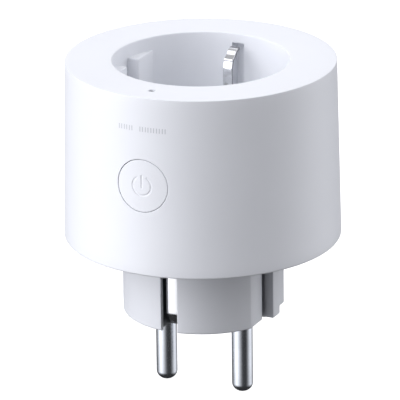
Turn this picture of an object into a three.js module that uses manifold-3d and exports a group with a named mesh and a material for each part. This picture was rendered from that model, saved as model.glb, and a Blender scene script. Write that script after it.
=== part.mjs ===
// Compact round smart plug: a socket well on top, a plug nose with two round pins below.
// Millimetres, +Z up. The origin is the centre of the plug's engagement face, between the pins.
// The pins lie on the X axis, and the button, the status light and the print are on the -Y side.
import * as THREE from "three";
import { mergeVertices } from "three/addons/utils/BufferGeometryUtils.js";
import Module from "manifold-3d";

const wasm = await Module();
wasm.setup();

// ---------------------------------------------------------------- driving dimensions
const PIN_X = 9.5; // half the pin spacing
const PIN_R = 2.4;
const PIN_LEN = 19;

const BODY_Z0 = 18; // shoulder where the body starts above the nose
const BODY_Z1 = 58.8; // rim of the socket
const BODY_R0 = 31.17; // outer radius at the shoulder
const BODY_R1 = 30.27; // outer radius at the rim
const WALL = 2.0;
const TOP_T = 2.0;

const WELL_R = 19.75;
const WELL_WALL = 1.6;
const WELL_Z0 = 39.6; // lower end of the well's wall
const FLOOR_Z0 = 39.3;
const FLOOR_Z1 = 41.3; // 17.5 mm below the rim
const RIB_X = 16.85; // flat face of the guide ribs
const RIB_GAP = 2.75; // half the groove between them
const RIB_TOP = 55.65;
const RECESS_HW = 1.5; // half the width of the recess behind an earth clip
const RECESS_Y = 22.4;
const RECESS_TOP = 56.65;

const NOSE_R = 18.2;
const NOSE_FLAT = 15.95; // half the distance across the nose's flats
const RIDGE_HW = 1.8; // half the width of the guide ridges
const GROOVE_Y = 3.0; // outer side of the groove beside each ridge
const GROOVE_X = 14.05; // bottom of that groove
const UNDER_X = 16.1; // the ridge is undercut up to here
const UNDER_Y = 0.95;
const SLOT_HW = 1.95; // half the width of the earth slots
const SLOT_Y = 13.2; // back of the earth slots
const LIP_Y = 16.9; // behind this, the slots widen
const UNDERCUT_HW = 2.6;

const STRIP_T = 0.8; // sheet of the earth parts
const STRIP_HW = 1.5;
const STRIP_Y = 16.1;
const RISER_Y = 16.6;
const CLIP_HW = 1.18;

const BTN_Z = 38.7;
const BTN_HOLE_R = 6.05;
const BTN_R = 5.88;
const BTN_FLANGE_R = 6.9;
const LED_Y = -24.8;

const COVER_Z0 = 18.3;
const COVER_Z1 = 19.9;
const COVER_R = 28.75;
const PCB_Z0 = 20.2;
const PCB_Z1 = 21.4;
const SCREW_R = 25.2; // radius of the screw circle
const SEG = 56;

const bodyRadius = (z) =>
  BODY_R0 + ((BODY_R1 - BODY_R0) * (z - BODY_Z0)) / (BODY_Z1 - BODY_Z0);

// ---------------------------------------------------------------- geometry helpers
function clean(geometry) {
  const g = geometry.clone();
  for (const name of Object.keys(g.attributes)) if (name !== "position") g.deleteAttribute(name);
  const m = mergeVertices(g, 1e-4);
  const pos = m.attributes.position;
  const idx = m.index.array;
  const tri = [];
  for (let i = 0; i < idx.length; i += 3) {
    const [a, b, c] = [idx[i], idx[i + 1], idx[i + 2]];
    if (a !== b && b !== c && c !== a) tri.push(a, b, c);
  }
  let vol = 0;
  for (let i = 0; i < tri.length; i += 3) {
    const [a, b, c] = [tri[i], tri[i + 1], tri[i + 2]].map((k) =>
      new THREE.Vector3().fromBufferAttribute(pos, k)
    );
    vol += a.dot(b.cross(c));
  }
  if (vol < 0) for (let i = 0; i < tri.length; i += 3) [tri[i], tri[i + 1]] = [tri[i + 1], tri[i]];
  return { verts: new Float32Array(pos.array), tris: new Uint32Array(tri) };
}

function solid(geometry) {
  const { verts, tris } = clean(geometry);
  return new wasm.Manifold(new wasm.Mesh({ numProp: 3, vertProperties: verts, triVerts: tris }));
}

function toGeometry(man) {
  const m = man.getMesh();
  const g = new THREE.BufferGeometry();
  g.setAttribute("position", new THREE.BufferAttribute(new Float32Array(m.vertProperties), 3));
  g.setIndex(new THREE.BufferAttribute(new Uint32Array(m.triVerts), 1));
  g.computeVertexNormals();
  return g;
}

const box = (x0, x1, y0, y1, z0, z1) =>
  solid(
    new THREE.BoxGeometry(x1 - x0, y1 - y0, z1 - z0).translate(
      (x0 + x1) / 2,
      (y0 + y1) / 2,
      (z0 + z1) / 2
    )
  );

// a body of revolution about +Z from [radius, z] points that start and end on the axis
const latheGeometry = (points, seg = SEG, x = 0, y = 0) =>
  new THREE.LatheGeometry(
    points.map(([r, z]) => new THREE.Vector2(r, z)),
    seg
  )
    .rotateX(Math.PI / 2)
    .translate(x, y, 0);
const lathe = (points, seg, x, y) => solid(latheGeometry(points, seg, x, y));
const cyl = (r, z0, z1, x = 0, y = 0, seg = SEG) =>
  lathe([[0, z0], [r, z0], [r, z1], [0, z1]], seg, x, y);

const cylY = (r, y0, y1, x, z, seg = 48) =>
  solid(new THREE.CylinderGeometry(r, r, y1 - y0, seg).translate(x, (y0 + y1) / 2, z));
const cylX = (r, x0, x1, y, z, seg = 24) =>
  solid(
    new THREE.CylinderGeometry(r, r, x1 - x0, seg)
      .rotateZ(-Math.PI / 2)
      .translate((x0 + x1) / 2, y, z)
  );

// a prism whose outline is given in X and Y
const prism = (outline, z0, z1) =>
  solid(
    new THREE.ExtrudeGeometry(new THREE.Shape(outline.map(([x, y]) => new THREE.Vector2(x, y))), {
      depth: z1 - z0,
      bevelEnabled: false,
    }).translate(0, 0, z0)
  );

// a bent strip of sheet: its centre line in Y and Z, its thickness, and its span in X
function strip(line, t, x0, x1) {
  const left = [];
  const right = [];
  for (let i = 0; i < line.length; i++) {
    const p = new THREE.Vector2(...line[i]);
    const a = new THREE.Vector2(...line[Math.max(i - 1, 0)]);
    const b = new THREE.Vector2(...line[Math.min(i + 1, line.length - 1)]);
    const d1 = i > 0 ? p.clone().sub(a).normalize() : b.clone().sub(p).normalize();
    const d2 = i < line.length - 1 ? b.clone().sub(p).normalize() : d1.clone();
    const n1 = new THREE.Vector2(-d1.y, d1.x);
    const n2 = new THREE.Vector2(-d2.y, d2.x);
    const n = n1.clone().add(n2).normalize();
    n.multiplyScalar(t / 2 / Math.max(n.dot(n1), 0.5));
    left.push(p.clone().add(n));
    right.push(p.clone().sub(n));
  }
  const g = new THREE.ExtrudeGeometry(new THREE.Shape([...left, ...right.reverse()]), {
    depth: x1 - x0,
    bevelEnabled: false,
  });
  // the outline's own X and Y become Y and Z, and the depth runs along X
  g.applyMatrix4(new THREE.Matrix4().set(0, 0, 1, x0, 1, 0, 0, 0, 0, 1, 0, 0, 0, 0, 0, 1));
  return solid(g);
}

const mirrorY = (man) => man.mirror([0, 1, 0]);
const mirrorX = (man) => man.mirror([1, 0, 0]);

const part = new THREE.Group();
function add(name, shape, color, roughness = 0.5, metalness = 0) {
  const geometry = shape.isBufferGeometry ? shape : toGeometry(shape);
  const mesh = new THREE.Mesh(
    geometry,
    new THREE.MeshStandardMaterial({ color, roughness, metalness })
  );
  mesh.name = name;
  part.add(mesh);
  return mesh;
}

const WHITE = 0xe9eaed;
const SHADE = 0xdfe0e2;
const NICKEL = 0xb9babc;
const BRASS = 0xc9a45c;
const COPPER = 0xb87333;
const STEEL = 0x8d8f92;
const GREEN = 0x1f6b3f;
const BLACK = 0x26272a;

// ---------------------------------------------------------------- front housing
// Tapered sleeve, top ring and well wall in one moulding, with guide ribs at +-X and
// recesses behind the earth clips at +-Y.
const outer = lathe([
  [0, BODY_Z0],
  [BODY_R0 - 0.95, BODY_Z0],
  [BODY_R0 - 0.3, BODY_Z0 + 0.27],
  [BODY_R0 - 0.02, BODY_Z0 + 0.95],
  [bodyRadius(BODY_Z1 - 0.5), BODY_Z1 - 0.5],
  [BODY_R1 - 0.15, BODY_Z1 - 0.14],
  [BODY_R1 - 0.5, BODY_Z1],
  [0, BODY_Z1],
]);
const inner = lathe([
  [0, BODY_Z0 - 1],
  [bodyRadius(BODY_Z0) - WALL, BODY_Z0 - 1],
  [bodyRadius(BODY_Z1 - TOP_T) - WALL, BODY_Z1 - TOP_T],
  [0, BODY_Z1 - TOP_T],
]);
let wellOuter = cyl(WELL_R + WELL_WALL, WELL_Z0, BODY_Z1 - 1);
for (const s of [1, -1]) {
  const bump = box(-2.9, 2.9, 19, RECESS_Y + 1.1, WELL_Z0, BODY_Z1 - 1);
  wellOuter = wellOuter.add(s > 0 ? bump : mirrorY(bump));
}
let bore = lathe([
  [0, WELL_Z0 - 1],
  [WELL_R, WELL_Z0 - 1],
  [WELL_R, BODY_Z1 - 0.5],
  [WELL_R + 0.15, BODY_Z1 - 0.14],
  [WELL_R + 0.5, BODY_Z1],
  [WELL_R + 0.5, BODY_Z1 + 1],
  [0, BODY_Z1 + 1],
]);
for (const sx of [1, -1])
  for (const sy of [1, -1]) {
    let rib = prism(
      [
        [RIB_X, RIB_GAP],
        [20.5, RIB_GAP],
        [20.5, 12],
        [RIB_X, 12],
      ],
      WELL_Z0 - 2,
      RIB_TOP
    );
    if (sx < 0) rib = mirrorX(rib);
    if (sy < 0) rib = mirrorY(rib);
    bore = bore.subtract(rib);
  }
for (const s of [1, -1]) {
  const recess = box(-RECESS_HW, RECESS_HW, 15, RECESS_Y, WELL_Z0 - 1, RECESS_TOP);
  bore = bore.add(s > 0 ? recess : mirrorY(recess));
}
let housing = outer.subtract(inner.subtract(wellOuter)).subtract(bore);
housing = housing.subtract(cylY(BTN_HOLE_R, -36, -25.6, 0, BTN_Z, 48));
housing = housing.subtract(cyl(0.8, BODY_Z1 - 4, BODY_Z1 + 1, 0, LED_Y, 16));
const screwAt = [45, 135, 225, 315].map((deg) => {
  const a = (deg * Math.PI) / 180;
  return [SCREW_R * Math.cos(a), SCREW_R * Math.sin(a)];
});
for (const [x, y] of screwAt)
  housing = housing
    .add(cyl(3.9, 21.5, 36, x, y, 16).intersect(cyl(29.6, 20, 40)))
    .subtract(cyl(1.6, 21, 32.5, x, y, 12));
add("front_housing", housing, WHITE, 0.45);

// ---------------------------------------------------------------- rear cover with the plug nose
const arc = (r, a0, a1, n) =>
  Array.from({ length: n + 1 }, (_, i) => {
    const a = a0 + ((a1 - a0) * i) / n;
    return [r * Math.cos(a), r * Math.sin(a)];
  });
let cover = cyl(COVER_R, COVER_Z0, COVER_Z1);
const nose = cyl(NOSE_R, 0, COVER_Z0 + 0.5).intersect(
  box(-NOSE_FLAT, NOSE_FLAT, -19, 19, -1, 30)
);
const ridge = cyl(NOSE_R, 0, COVER_Z0 + 0.5).intersect(
  box(-20, 20, -RIDGE_HW, RIDGE_HW, -1, 30)
);
cover = cover.add(nose).add(ridge);
cover = cover.subtract(box(-12.7, 12.7, -10.8, 10.8, 2, 30).intersect(cyl(15.6, 2, 30)));
for (const sx of [1, -1])
  for (const sy of [1, -1]) {
    let groove = box(GROOVE_X, 19, RIDGE_HW, GROOVE_Y, -1, BODY_Z0 + 0.3).add(
      box(GROOVE_X, UNDER_X, UNDER_Y, GROOVE_Y, -1, BODY_Z0 + 0.3)
    );
    if (sx < 0) groove = mirrorX(groove);
    if (sy < 0) groove = mirrorY(groove);
    cover = cover.subtract(groove);
  }
for (const [x, y] of screwAt) {
  cover = cover.add(cyl(3.5, COVER_Z1 - 0.5, 21.2, x, y, 16).intersect(cyl(COVER_R, 18, 24)));
  cover = cover.subtract(cyl(2.6, 17, 19.8, x, y, 16)).subtract(cyl(1.6, 19, 22, x, y, 12));
}
for (const s of [1, -1]) {
  let slot = box(-SLOT_HW, SLOT_HW, SLOT_Y, 19, -1, BODY_Z0 + 0.3)
    .add(box(-UNDERCUT_HW, UNDERCUT_HW, SLOT_Y, LIP_Y, -1, BODY_Z0 + 0.3))
    .add(box(-UNDERCUT_HW, UNDERCUT_HW, 12.6, LIP_Y, -1, 2.1))
    .add(box(-SLOT_HW, SLOT_HW, SLOT_Y + 0.2, 17, 10, 25));
  if (s < 0) slot = mirrorY(slot);
  cover = cover.subtract(slot);
}
for (const s of [1, -1]) cover = cover.subtract(cyl(PIN_R + 0.12, -1, 3, s * PIN_X, 0, 24));
add("rear_cover", cover, SHADE, 0.5);

// ---------------------------------------------------------------- plug pins and their carrier
const pinProfile = [
  [0, -PIN_LEN],
  [0.75, -PIN_LEN + 0.07],
  [1.45, -PIN_LEN + 0.38],
  [2.02, -PIN_LEN + 0.95],
  [PIN_R, -PIN_LEN + 1.9],
  [PIN_R, 2.2],
  [2.9, 2.2],
  [2.9, 3.6],
  [1.5, 3.6],
  [1.5, 21.9],
  [0, 21.9],
];
add("live_pin", latheGeometry(pinProfile, 24, PIN_X, 0), NICKEL, 0.25, 1);
add("neutral_pin", latheGeometry(pinProfile, 24, -PIN_X, 0), NICKEL, 0.25, 1);
let carrier = box(-12.3, 12.3, -4.6, 4.6, 3.9, 8.2);
for (const s of [1, -1]) carrier = carrier.subtract(cyl(1.8, 3, 9, s * PIN_X, 0, 24));
carrier = carrier.subtract(box(-4.2, 4.2, -5, 5, 6.2, 9));
add("pin_carrier", carrier, 0xd8d4c8, 0.6);

// ---------------------------------------------------------------- earth parts
const stripLine = [
  [13.1, 1.2],
  [13.9, 1.3],
  [14.4, 1.75],
  [15.85, 3.4],
  [STRIP_Y, 4.1],
  [STRIP_Y, 23.6],
  [RISER_Y, 26.4],
  [RISER_Y, 38.1],
];
const earthStrip = strip(stripLine, STRIP_T, -STRIP_HW, STRIP_HW);
add("earth_strip_back", earthStrip, NICKEL, 0.3, 1);
add("earth_strip_front", mirrorY(earthStrip), NICKEL, 0.3, 1);
const clipLine = [
  [RISER_Y, 38.5],
  [RISER_Y, 41.4],
  [16.25, 43.0],
  [15.1, 45.3],
  [14.4, 47.1],
  [14.14, 48.65],
  [14.14, 50.5],
  [14.04, 50.8],
  [14.06, 51.9],
  [14.2, 52.4],
  [14.68, 53.8],
  [14.66, 54.08],
  [15.0, 54.45],
  [15.7, 54.95],
  [16.6, 55.3],
  [17.6, 55.6],
  [18.3, 55.75],
];
const clip = strip(clipLine, STRIP_T, -CLIP_HW, CLIP_HW);
add("earth_clip_back", clip, NICKEL, 0.25, 1);
add("earth_clip_front", mirrorY(clip), NICKEL, 0.25, 1);
add("earth_cross_strap", box(-2, 2, -15.85, 15.85, 33, 33.8), NICKEL, 0.3, 1);

// ---------------------------------------------------------------- socket floor, shutter and contacts
let floor = cyl(WELL_R - 0.35, FLOOR_Z0, FLOOR_Z1).intersect(
  box(-RIB_X + 0.3, RIB_X - 0.3, -21, 21, 30, 50)
);
floor = floor.add(cyl(21.2, 38.3, FLOOR_Z0).subtract(cyl(18, 38, 40)));
floor = floor.add(cyl(21.2, FLOOR_Z0 - 0.3, FLOOR_Z0));
for (const s of [1, -1]) floor = floor.subtract(cyl(2.95, 38, 43, s * PIN_X, 0, 24));
floor = floor.subtract(cyl(1.4, 38, 40.6, 0, 0, 24));
for (const s of [1, -1]) {
  const slot = box(-RECESS_HW, RECESS_HW, 15.9, 17.9, 37, 43);
  floor = floor.subtract(s > 0 ? slot : mirrorY(slot));
}
add("socket_floor", floor, WHITE, 0.5);

// a two-paddle rotor: it covers both pin holes at rest and turns aside when both pins push on it
let rotor = box(-PIN_X, PIN_X, -2.5, 2.5, 37.4, 38.8).add(cyl(3.3, 37.4, 38.8, 0, 0, 24));
for (const s of [1, -1]) {
  let paddle = cyl(3.4, 36.5, 38.8, s * PIN_X, 0, 24);
  // the ramp that a pin slides down
  const ramp = solid(
    new THREE.BoxGeometry(9, 12, 3)
      .translate(0, 0, 1.5)
      .rotateX(-s * 0.3)
      .translate(s * PIN_X, 0, 38.0)
  );
  paddle = paddle.subtract(ramp.intersect(box(s * PIN_X - 3.6, s * PIN_X + 3.6, -6, 6, 30, 45)));
  rotor = rotor.subtract(box(s * PIN_X - 3.6, s * PIN_X + 3.6, -6, 6, 30, 45)).add(paddle);
}
rotor = rotor.add(box(-6.6, 6.6, -2.5, 2.5, 37.4, 38.3));
rotor = rotor.subtract(cyl(1.35, 36, 40, 0, 0, 24));
add("safety_shutter", rotor, 0xf1efe8, 0.5);
add(
  "shutter_screw",
  cyl(1.27, 35.0, 40.4, 0, 0, 24)
    .add(cyl(3.0, 35.0, 35.8, 0, 0, 24))
    .subtract(box(-2.2, 2.2, -0.3, 0.3, 34, 35.3)),
  STEEL,
  0.35,
  1
);
class Coil extends THREE.Curve {
  getPoint(t, target = new THREE.Vector3()) {
    const a = t * Math.PI * 2 * 2.1;
    return target.set(2.15 * Math.cos(a), 2.15 * Math.sin(a), 36.15 + 0.95 * t);
  }
}
const wire = new THREE.Shape(
  Array.from({ length: 6 }, (_, i) => {
    const a = (i * Math.PI) / 3;
    return new THREE.Vector2(0.2 * Math.cos(a), 0.2 * Math.sin(a));
  })
);
add(
  "shutter_spring",
  solid(
    new THREE.ExtrudeGeometry(wire, { steps: 34, extrudePath: new Coil(), bevelEnabled: false })
  ),
  STEEL,
  0.3,
  1
);

// a channel of two leaves joined by a web on the outer side, open towards the middle
const contact = box(6.6, 13, -3.05, 3.05, 23.4, 35)
  .subtract(box(6, 12.4, -2.45, 2.45, 23, 36))
  .add(box(12.4, 13, -2, 2, 21.6, 23.5));
add("live_contact", contact, BRASS, 0.3, 1);
add("neutral_contact", mirrorX(contact), BRASS, 0.3, 1);
add(
  "live_busbar",
  box(11.3, 14.1, 3.4, 15.2, 22.0, 22.8).add(box(5, 14.1, 12.4, 15.2, 22.0, 22.8)),
  COPPER,
  0.35,
  1
);
add("neutral_busbar", box(-16.3, -13.3, -2, 7.6, 22.0, 22.8), COPPER, 0.35, 1);

// ---------------------------------------------------------------- main board
let pcb = cyl(28.1, PCB_Z0, PCB_Z1);
for (const [x, y] of screwAt) pcb = pcb.subtract(cyl(4.2, 19, 23, x, y, 16));
for (const s of [1, -1]) {
  pcb = pcb.subtract(cyl(1.8, 19, 23, s * PIN_X, 0, 16));
  pcb = pcb.subtract(s > 0 ? box(-2.1, 2.1, 14.9, 16.7, 19, 23) : box(-2.1, 2.1, -16.7, -14.9, 19, 23));
}
add("main_pcb", pcb, GREEN, 0.5);

// ---------------------------------------------------------------- button, switch and status light
const cap = cylY(BTN_R, -34, -27.55, 0, BTN_Z, 48).intersect(outer);
add(
  "power_button",
  cap
    .add(cylY(BTN_FLANGE_R, -27.6, -26.55, 0, BTN_Z, 48))
    .add(cylY(1.3, -26.6, -26.3, 0, BTN_Z, 16)),
  WHITE,
  0.45
);
add("button_pcb", box(-6.5, 6.5, -24.8, -24, 21.6, 48.2), GREEN, 0.5);
add(
  "tact_switch_body",
  box(-2.6, 2.6, -25.75, -24.85, BTN_Z - 2.6, BTN_Z + 2.6).subtract(
    cylY(1.1, -27, -24, 0, BTN_Z, 24)
  ),
  BLACK,
  0.6
);
add("tact_switch_plunger", cylY(0.98, -26.25, -25.35, 0, BTN_Z, 24), 0x3a3a3c, 0.6);
add("status_led", box(-1, 1, -25.65, -24.85, 46.9, 48.5), 0xf4f1d8, 0.3);
add(
  "light_pipe",
  lathe(
    [
      [0, 49.0],
      [1.1, 49.0],
      [1.1, 56.4],
      [0.7, 56.6],
      [0.7, 58.45],
      [0, 58.45],
    ],
    16,
    0,
    LED_Y
  ),
  0xe6ecf2,
  0.15
);

// ---------------------------------------------------------------- relay
const RY0 = 17.6;
const RY1 = 26.0;
add("relay_base", box(-9.4, 9.4, RY0, RY1, 21.5, 22.9), 0x2d4f8c, 0.55);
add(
  "relay_cover",
  box(-9.4, 9.4, RY0, RY1, 23.0, 37.6).subtract(box(-8.5, 8.5, RY0 + 0.9, RY1 - 0.9, 22, 36.7)),
  0x2f5596,
  0.5
);
add(
  "relay_coil",
  lathe(
    [
      [0, 24.3],
      [3.0, 24.3],
      [3.0, 24.9],
      [2.6, 25.1],
      [2.6, 33.0],
      [3.0, 33.2],
      [3.0, 33.8],
      [1.3, 33.8],
      [1.3, 34.3],
      [0, 34.3],
    ],
    24,
    -3.6,
    21.8
  ),
  COPPER,
  0.4,
  1
);
add(
  "relay_yoke",
  box(-6.6, 1.3, 19.4, 24.2, 23.2, 24.0).add(box(0.4, 1.3, 19.4, 24.2, 23.2, 34.6)),
  STEEL,
  0.4,
  1
);
add("relay_armature", box(-6.4, 1.3, 19.6, 24.0, 35.0, 35.7), STEEL, 0.4, 1);
add(
  "relay_moving_contact",
  box(1.6, 1.95, 20.2, 23.4, 27.0, 35.6).add(cylX(0.9, 1.9, 2.6, 21.8, 28.2, 16)),
  COPPER,
  0.3,
  1
);
add(
  "relay_fixed_contact",
  box(3.9, 4.5, 20.2, 23.4, 23.1, 30.4).add(cylX(0.9, 3.25, 3.95, 21.8, 28.2, 16)),
  COPPER,
  0.3,
  1
);

// ---------------------------------------------------------------- radio module and power supply
add("wifi_module", box(21.0, 21.8, -9, 9, 21.6, 37.4), 0x1c3f6e, 0.5);
add(
  "module_shield_can",
  box(18.9, 20.9, -6.6, 6.6, 24.5, 36.4).subtract(box(19.2, 21.5, -6.3, 6.3, 24.8, 36.1)),
  STEEL,
  0.35,
  1
);
add(
  "transformer_core",
  box(-26.2, -17.6, -5.5, 5.5, 21.8, 33)
    .subtract(box(-28, -16, 1.5, 3.9, 24.0, 30.8))
    .subtract(box(-28, -16, -3.9, -1.5, 24.0, 30.8)),
  0x3b3c3f,
  0.6
);
add(
  "transformer_winding",
  box(-27.2, -16.8, -3.7, 3.7, 24.3, 30.5).subtract(box(-26.5, -17.3, -1.75, 1.75, 24, 31)),
  0xd9a21b,
  0.5
);
add(
  "bulk_capacitor",
  latheGeometry(
    [
      [0, 21.6],
      [3.8, 21.6],
      [3.8, 22.6],
      [3.55, 22.9],
      [3.8, 23.2],
      [3.8, 30.4],
      [3.5, 30.8],
      [0, 30.8],
    ],
    24,
    -7,
    -19.7
  ),
  0x27355c,
  0.4
);
add("x_capacitor", box(2.6, 12.4, -23.4, -18.2, 21.6, 30.4), 0xcfa42a, 0.5);
add(
  "varistor",
  cylY(4.4, 8.2, 11.2, -18.4, 28.2, 28)
    .add(cylY(4.7, 8.9, 10.5, -18.4, 28.2, 28))
    .add(box(-21.1, -20.5, 9.4, 10.0, 21.6, 26))
    .add(box(-16.3, -15.7, 9.4, 10.0, 21.6, 26)),
  0x2c5fa8,
  0.5
);
add(
  "fuse_resistor",
  cylX(1.9, -22, -13.4, -9.2, 24.4, 20)
    .add(cylX(0.35, -22.9, -12.5, -9.2, 24.4, 8))
    .add(box(-23.1, -22.5, -9.5, -8.9, 21.6, 24.7))
    .add(box(-12.9, -12.3, -9.5, -8.9, 21.6, 24.7)),
  0x6d8f5a,
  0.6
);
add(
  "inductor",
  latheGeometry(
    [
      [0, 21.6],
      [3.4, 21.6],
      [3.4, 22.6],
      [2.7, 22.8],
      [2.7, 27.4],
      [3.4, 27.6],
      [3.4, 28.6],
      [0, 28.6],
    ],
    24,
    13.6,
    -10.8
  ),
  0x4a3a30,
  0.6
);
add("bridge_rectifier", box(-8.6, -3.9, -12.6, -8.6, 21.5, 23.3), BLACK, 0.6);
add("metering_chip", box(3.6, 8.6, -12.8, -7.8, 21.5, 23.1), BLACK, 0.6);
add(
  "shunt_resistor",
  box(-4.4, 4.4, 8.4, 11.4, 21.5, 23.5).subtract(box(-3.4, 3.4, 8, 12, 21, 22.7)),
  0x9c8f7a,
  0.4,
  1
);

// ---------------------------------------------------------------- housing screws
screwAt.forEach(([x, y], i) => {
  add(
    `housing_screw_${i + 1}`,
    lathe(
      [
        [0, 18.5],
        [2.1, 18.5],
        [2.35, 18.8],
        [2.35, 19.7],
        [1.3, 19.7],
        [1.3, 30.2],
        [0, 31.2],
      ],
      16,
      x,
      y
    )
      .subtract(box(x - 1.6, x + 1.6, y - 0.35, y + 0.35, 18, 19.2))
      .subtract(box(x - 0.35, x + 0.35, y - 1.6, y + 1.6, 18, 19.2)),
    STEEL,
    0.35,
    1
  );
});

export default part;
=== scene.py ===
import math

import bmesh
import bpy
from mathutils import Matrix, Vector


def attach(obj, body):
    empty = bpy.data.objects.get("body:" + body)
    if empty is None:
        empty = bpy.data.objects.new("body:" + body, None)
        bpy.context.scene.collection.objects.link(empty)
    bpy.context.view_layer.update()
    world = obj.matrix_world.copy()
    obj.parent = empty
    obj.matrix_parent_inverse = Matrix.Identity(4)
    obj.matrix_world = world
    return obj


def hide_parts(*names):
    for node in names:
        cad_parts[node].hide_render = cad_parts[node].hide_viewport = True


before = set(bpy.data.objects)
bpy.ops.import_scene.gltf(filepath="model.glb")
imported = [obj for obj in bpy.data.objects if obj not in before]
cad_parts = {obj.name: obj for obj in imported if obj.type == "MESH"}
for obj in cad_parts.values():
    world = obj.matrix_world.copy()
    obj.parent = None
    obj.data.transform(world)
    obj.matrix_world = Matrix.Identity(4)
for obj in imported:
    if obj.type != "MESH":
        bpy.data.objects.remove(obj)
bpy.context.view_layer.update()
scene = bpy.context.scene
MM = 0.001

# ---------------------------------------------------------------- sizes, in millimetres
BODY_Z0, BODY_Z1, BODY_R0, BODY_R1 = 18.0, 58.8, 31.17, 30.27
WELL_R, WELL_WALL, WELL_Z0 = 19.75, 1.6, 39.6
FLOOR_Z0, FLOOR_Z1 = 39.3, 41.3
RIB_X, RIB_GAP, RIB_TOP = 16.85, 2.75, 55.65
RECESS_HW, RECESS_Y, RECESS_TOP = 1.5, 22.4, 56.65
NOSE_R, NOSE_FLAT, RIDGE_HW = 18.2, 15.95, 1.8
GROOVE_Y, GROOVE_X = 3.0, 14.05
UNDER_X, UNDER_Y = 16.1, 0.95
SLOT_HW, SLOT_Y, LIP_Y, UNDERCUT_HW = 1.95, 13.2, 16.9, 2.6
PIN_X, PIN_R, PIN_LEN = 9.5, 2.4, 19.0
STRIP_T, STRIP_HW, CLIP_HW = 0.8, 1.5, 1.1
BTN_Z, BTN_HOLE_R, BTN_R = 38.7, 6.05, 5.93
BTN_SEAT = 0.04  # the cap sits a little off centre in its hole
LED_Y = -24.8
COVER_Z0, COVER_Z1, COVER_R = 18.3, 19.9, 28.75
SCREW_R = 25.2
PCB_Z0, PCB_Z1 = 20.2, 21.4


def body_r(z):
    return BODY_R0 + (BODY_R1 - BODY_R0) * (z - BODY_Z0) / (BODY_Z1 - BODY_Z0)


# ---------------------------------------------------------------- camera, the photograph's view
def place_camera():
    az, el, roll = math.radians(25.52), math.radians(19.614), math.radians(-0.71)
    back = Vector((math.sin(az) * math.cos(el), -math.cos(az) * math.cos(el), math.sin(el)))
    right = Vector((0, 0, 1)).cross(back).normalized()
    up = back.cross(right)
    r = right * math.cos(roll) + up * math.sin(roll)
    u = -right * math.sin(roll) + up * math.cos(roll)
    at = Vector((0, 0, 20)) + back * 985.08 + r * -0.6314 + u * 5.1289
    data = bpy.data.cameras.new("camera")
    data.sensor_width = 36
    data.lens = 4379.49 * 36 / 400
    data.clip_start, data.clip_end = 0.05, 60
    cam = bpy.data.objects.new("camera", data)
    scene.collection.objects.link(cam)
    m = Matrix((r, u, back)).transposed().to_4x4()
    m.translation = at * MM
    cam.matrix_world = m
    scene.camera = cam


place_camera()


# ---------------------------------------------------------------- materials
class Mat:
    """A node material with short calls to build it."""

    def __init__(self, name):
        self.m = bpy.data.materials.new(name)
        self.m.use_nodes = True
        self.t = self.m.node_tree
        self.b = self.t.nodes["Principled BSDF"]
        self.coord = self.node("ShaderNodeTexCoord")

    def node(self, kind, **sets):
        n = self.t.nodes.new(kind)
        for k, v in sets.items():
            if k in n.inputs:
                n.inputs[k].default_value = v
            else:
                setattr(n, k, v)
        return n

    def link(self, a, b):
        self.t.links.new(a, b)

    def noise(self, scale, detail=4.0, rough=0.5, stretch=None):
        n = self.node("ShaderNodeTexNoise")
        n.inputs["Scale"].default_value = scale
        n.inputs["Detail"].default_value = detail
        n.inputs["Roughness"].default_value = rough
        src = self.coord.outputs["Object"]
        if stretch:
            mp = self.node("ShaderNodeMapping")
            mp.inputs["Scale"].default_value = stretch
            self.link(src, mp.inputs["Vector"])
            src = mp.outputs["Vector"]
        self.link(src, n.inputs["Vector"])
        return n.outputs["Fac"]

    def ramp(self, fac, stops):
        r = self.node("ShaderNodeValToRGB")
        e = r.color_ramp.elements
        while len(e) < len(stops):
            e.new(0.5)
        for el, (p, c) in zip(e, stops):
            el.position = p
            el.color = (*c, 1) if len(c) == 3 else c
        self.link(fac, r.inputs["Fac"])
        return r.outputs["Color"]

    def span(self, fac, lo, hi):
        n = self.node("ShaderNodeMapRange")
        n.inputs["To Min"].default_value = lo
        n.inputs["To Max"].default_value = hi
        self.link(fac, n.inputs["Value"])
        return n.outputs["Result"]

    def bump(self, fac, strength, distance):
        n = self.node("ShaderNodeBump")
        n.inputs["Strength"].default_value = strength
        n.inputs["Distance"].default_value = distance
        self.link(fac, n.inputs["Height"])
        self.link(n.outputs["Normal"], self.b.inputs["Normal"])
        return n

    def set(self, **values):
        for k, v in values.items():
            self.b.inputs[k.replace("_", " ")].default_value = v
        return self


def plastic(name, color, rough=0.4, spread=0.05, grain=9000, grain_depth=0.000006, tint=0.012):
    """Moulded plastic: a fine spark-eroded grain, faint flow tone and a slightly uneven gloss."""
    k = Mat(name)
    flow = k.noise(55, 3, 0.55)
    lo = tuple(max(c * (1 - tint), 0) for c in color)
    hi = tuple(min(c * (1 + tint), 1) for c in color)
    k.link(k.ramp(flow, [(0.3, lo), (0.7, hi)]), k.b.inputs["Base Color"])
    haze = k.noise(420, 4, 0.6)
    k.link(k.span(haze, rough - spread, rough + spread), k.b.inputs["Roughness"])
    k.bump(k.noise(grain, 2, 0.5), 0.35, grain_depth)
    k.set(IOR=1.5)
    return k.m


def metal(name, color, rough=0.2, spread=0.06, stretch=(1, 1, 30), scale=900, depth=0.000004, tone=0.05):
    """Plated or bare metal with fine drawn lines and a faintly uneven film."""
    k = Mat(name)
    film = k.noise(180, 4, 0.6)
    lo = tuple(c * (1 - tone) for c in color)
    hi = tuple(min(c * (1 + tone), 1) for c in color)
    k.link(k.ramp(film, [(0.3, lo), (0.7, hi)]), k.b.inputs["Base Color"])
    lines = k.noise(scale, 5, 0.65, stretch)
    k.link(k.span(lines, rough - spread, rough + spread), k.b.inputs["Roughness"])
    k.bump(lines, 0.25, depth)
    k.set(Metallic=1.0)
    return k.m


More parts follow.
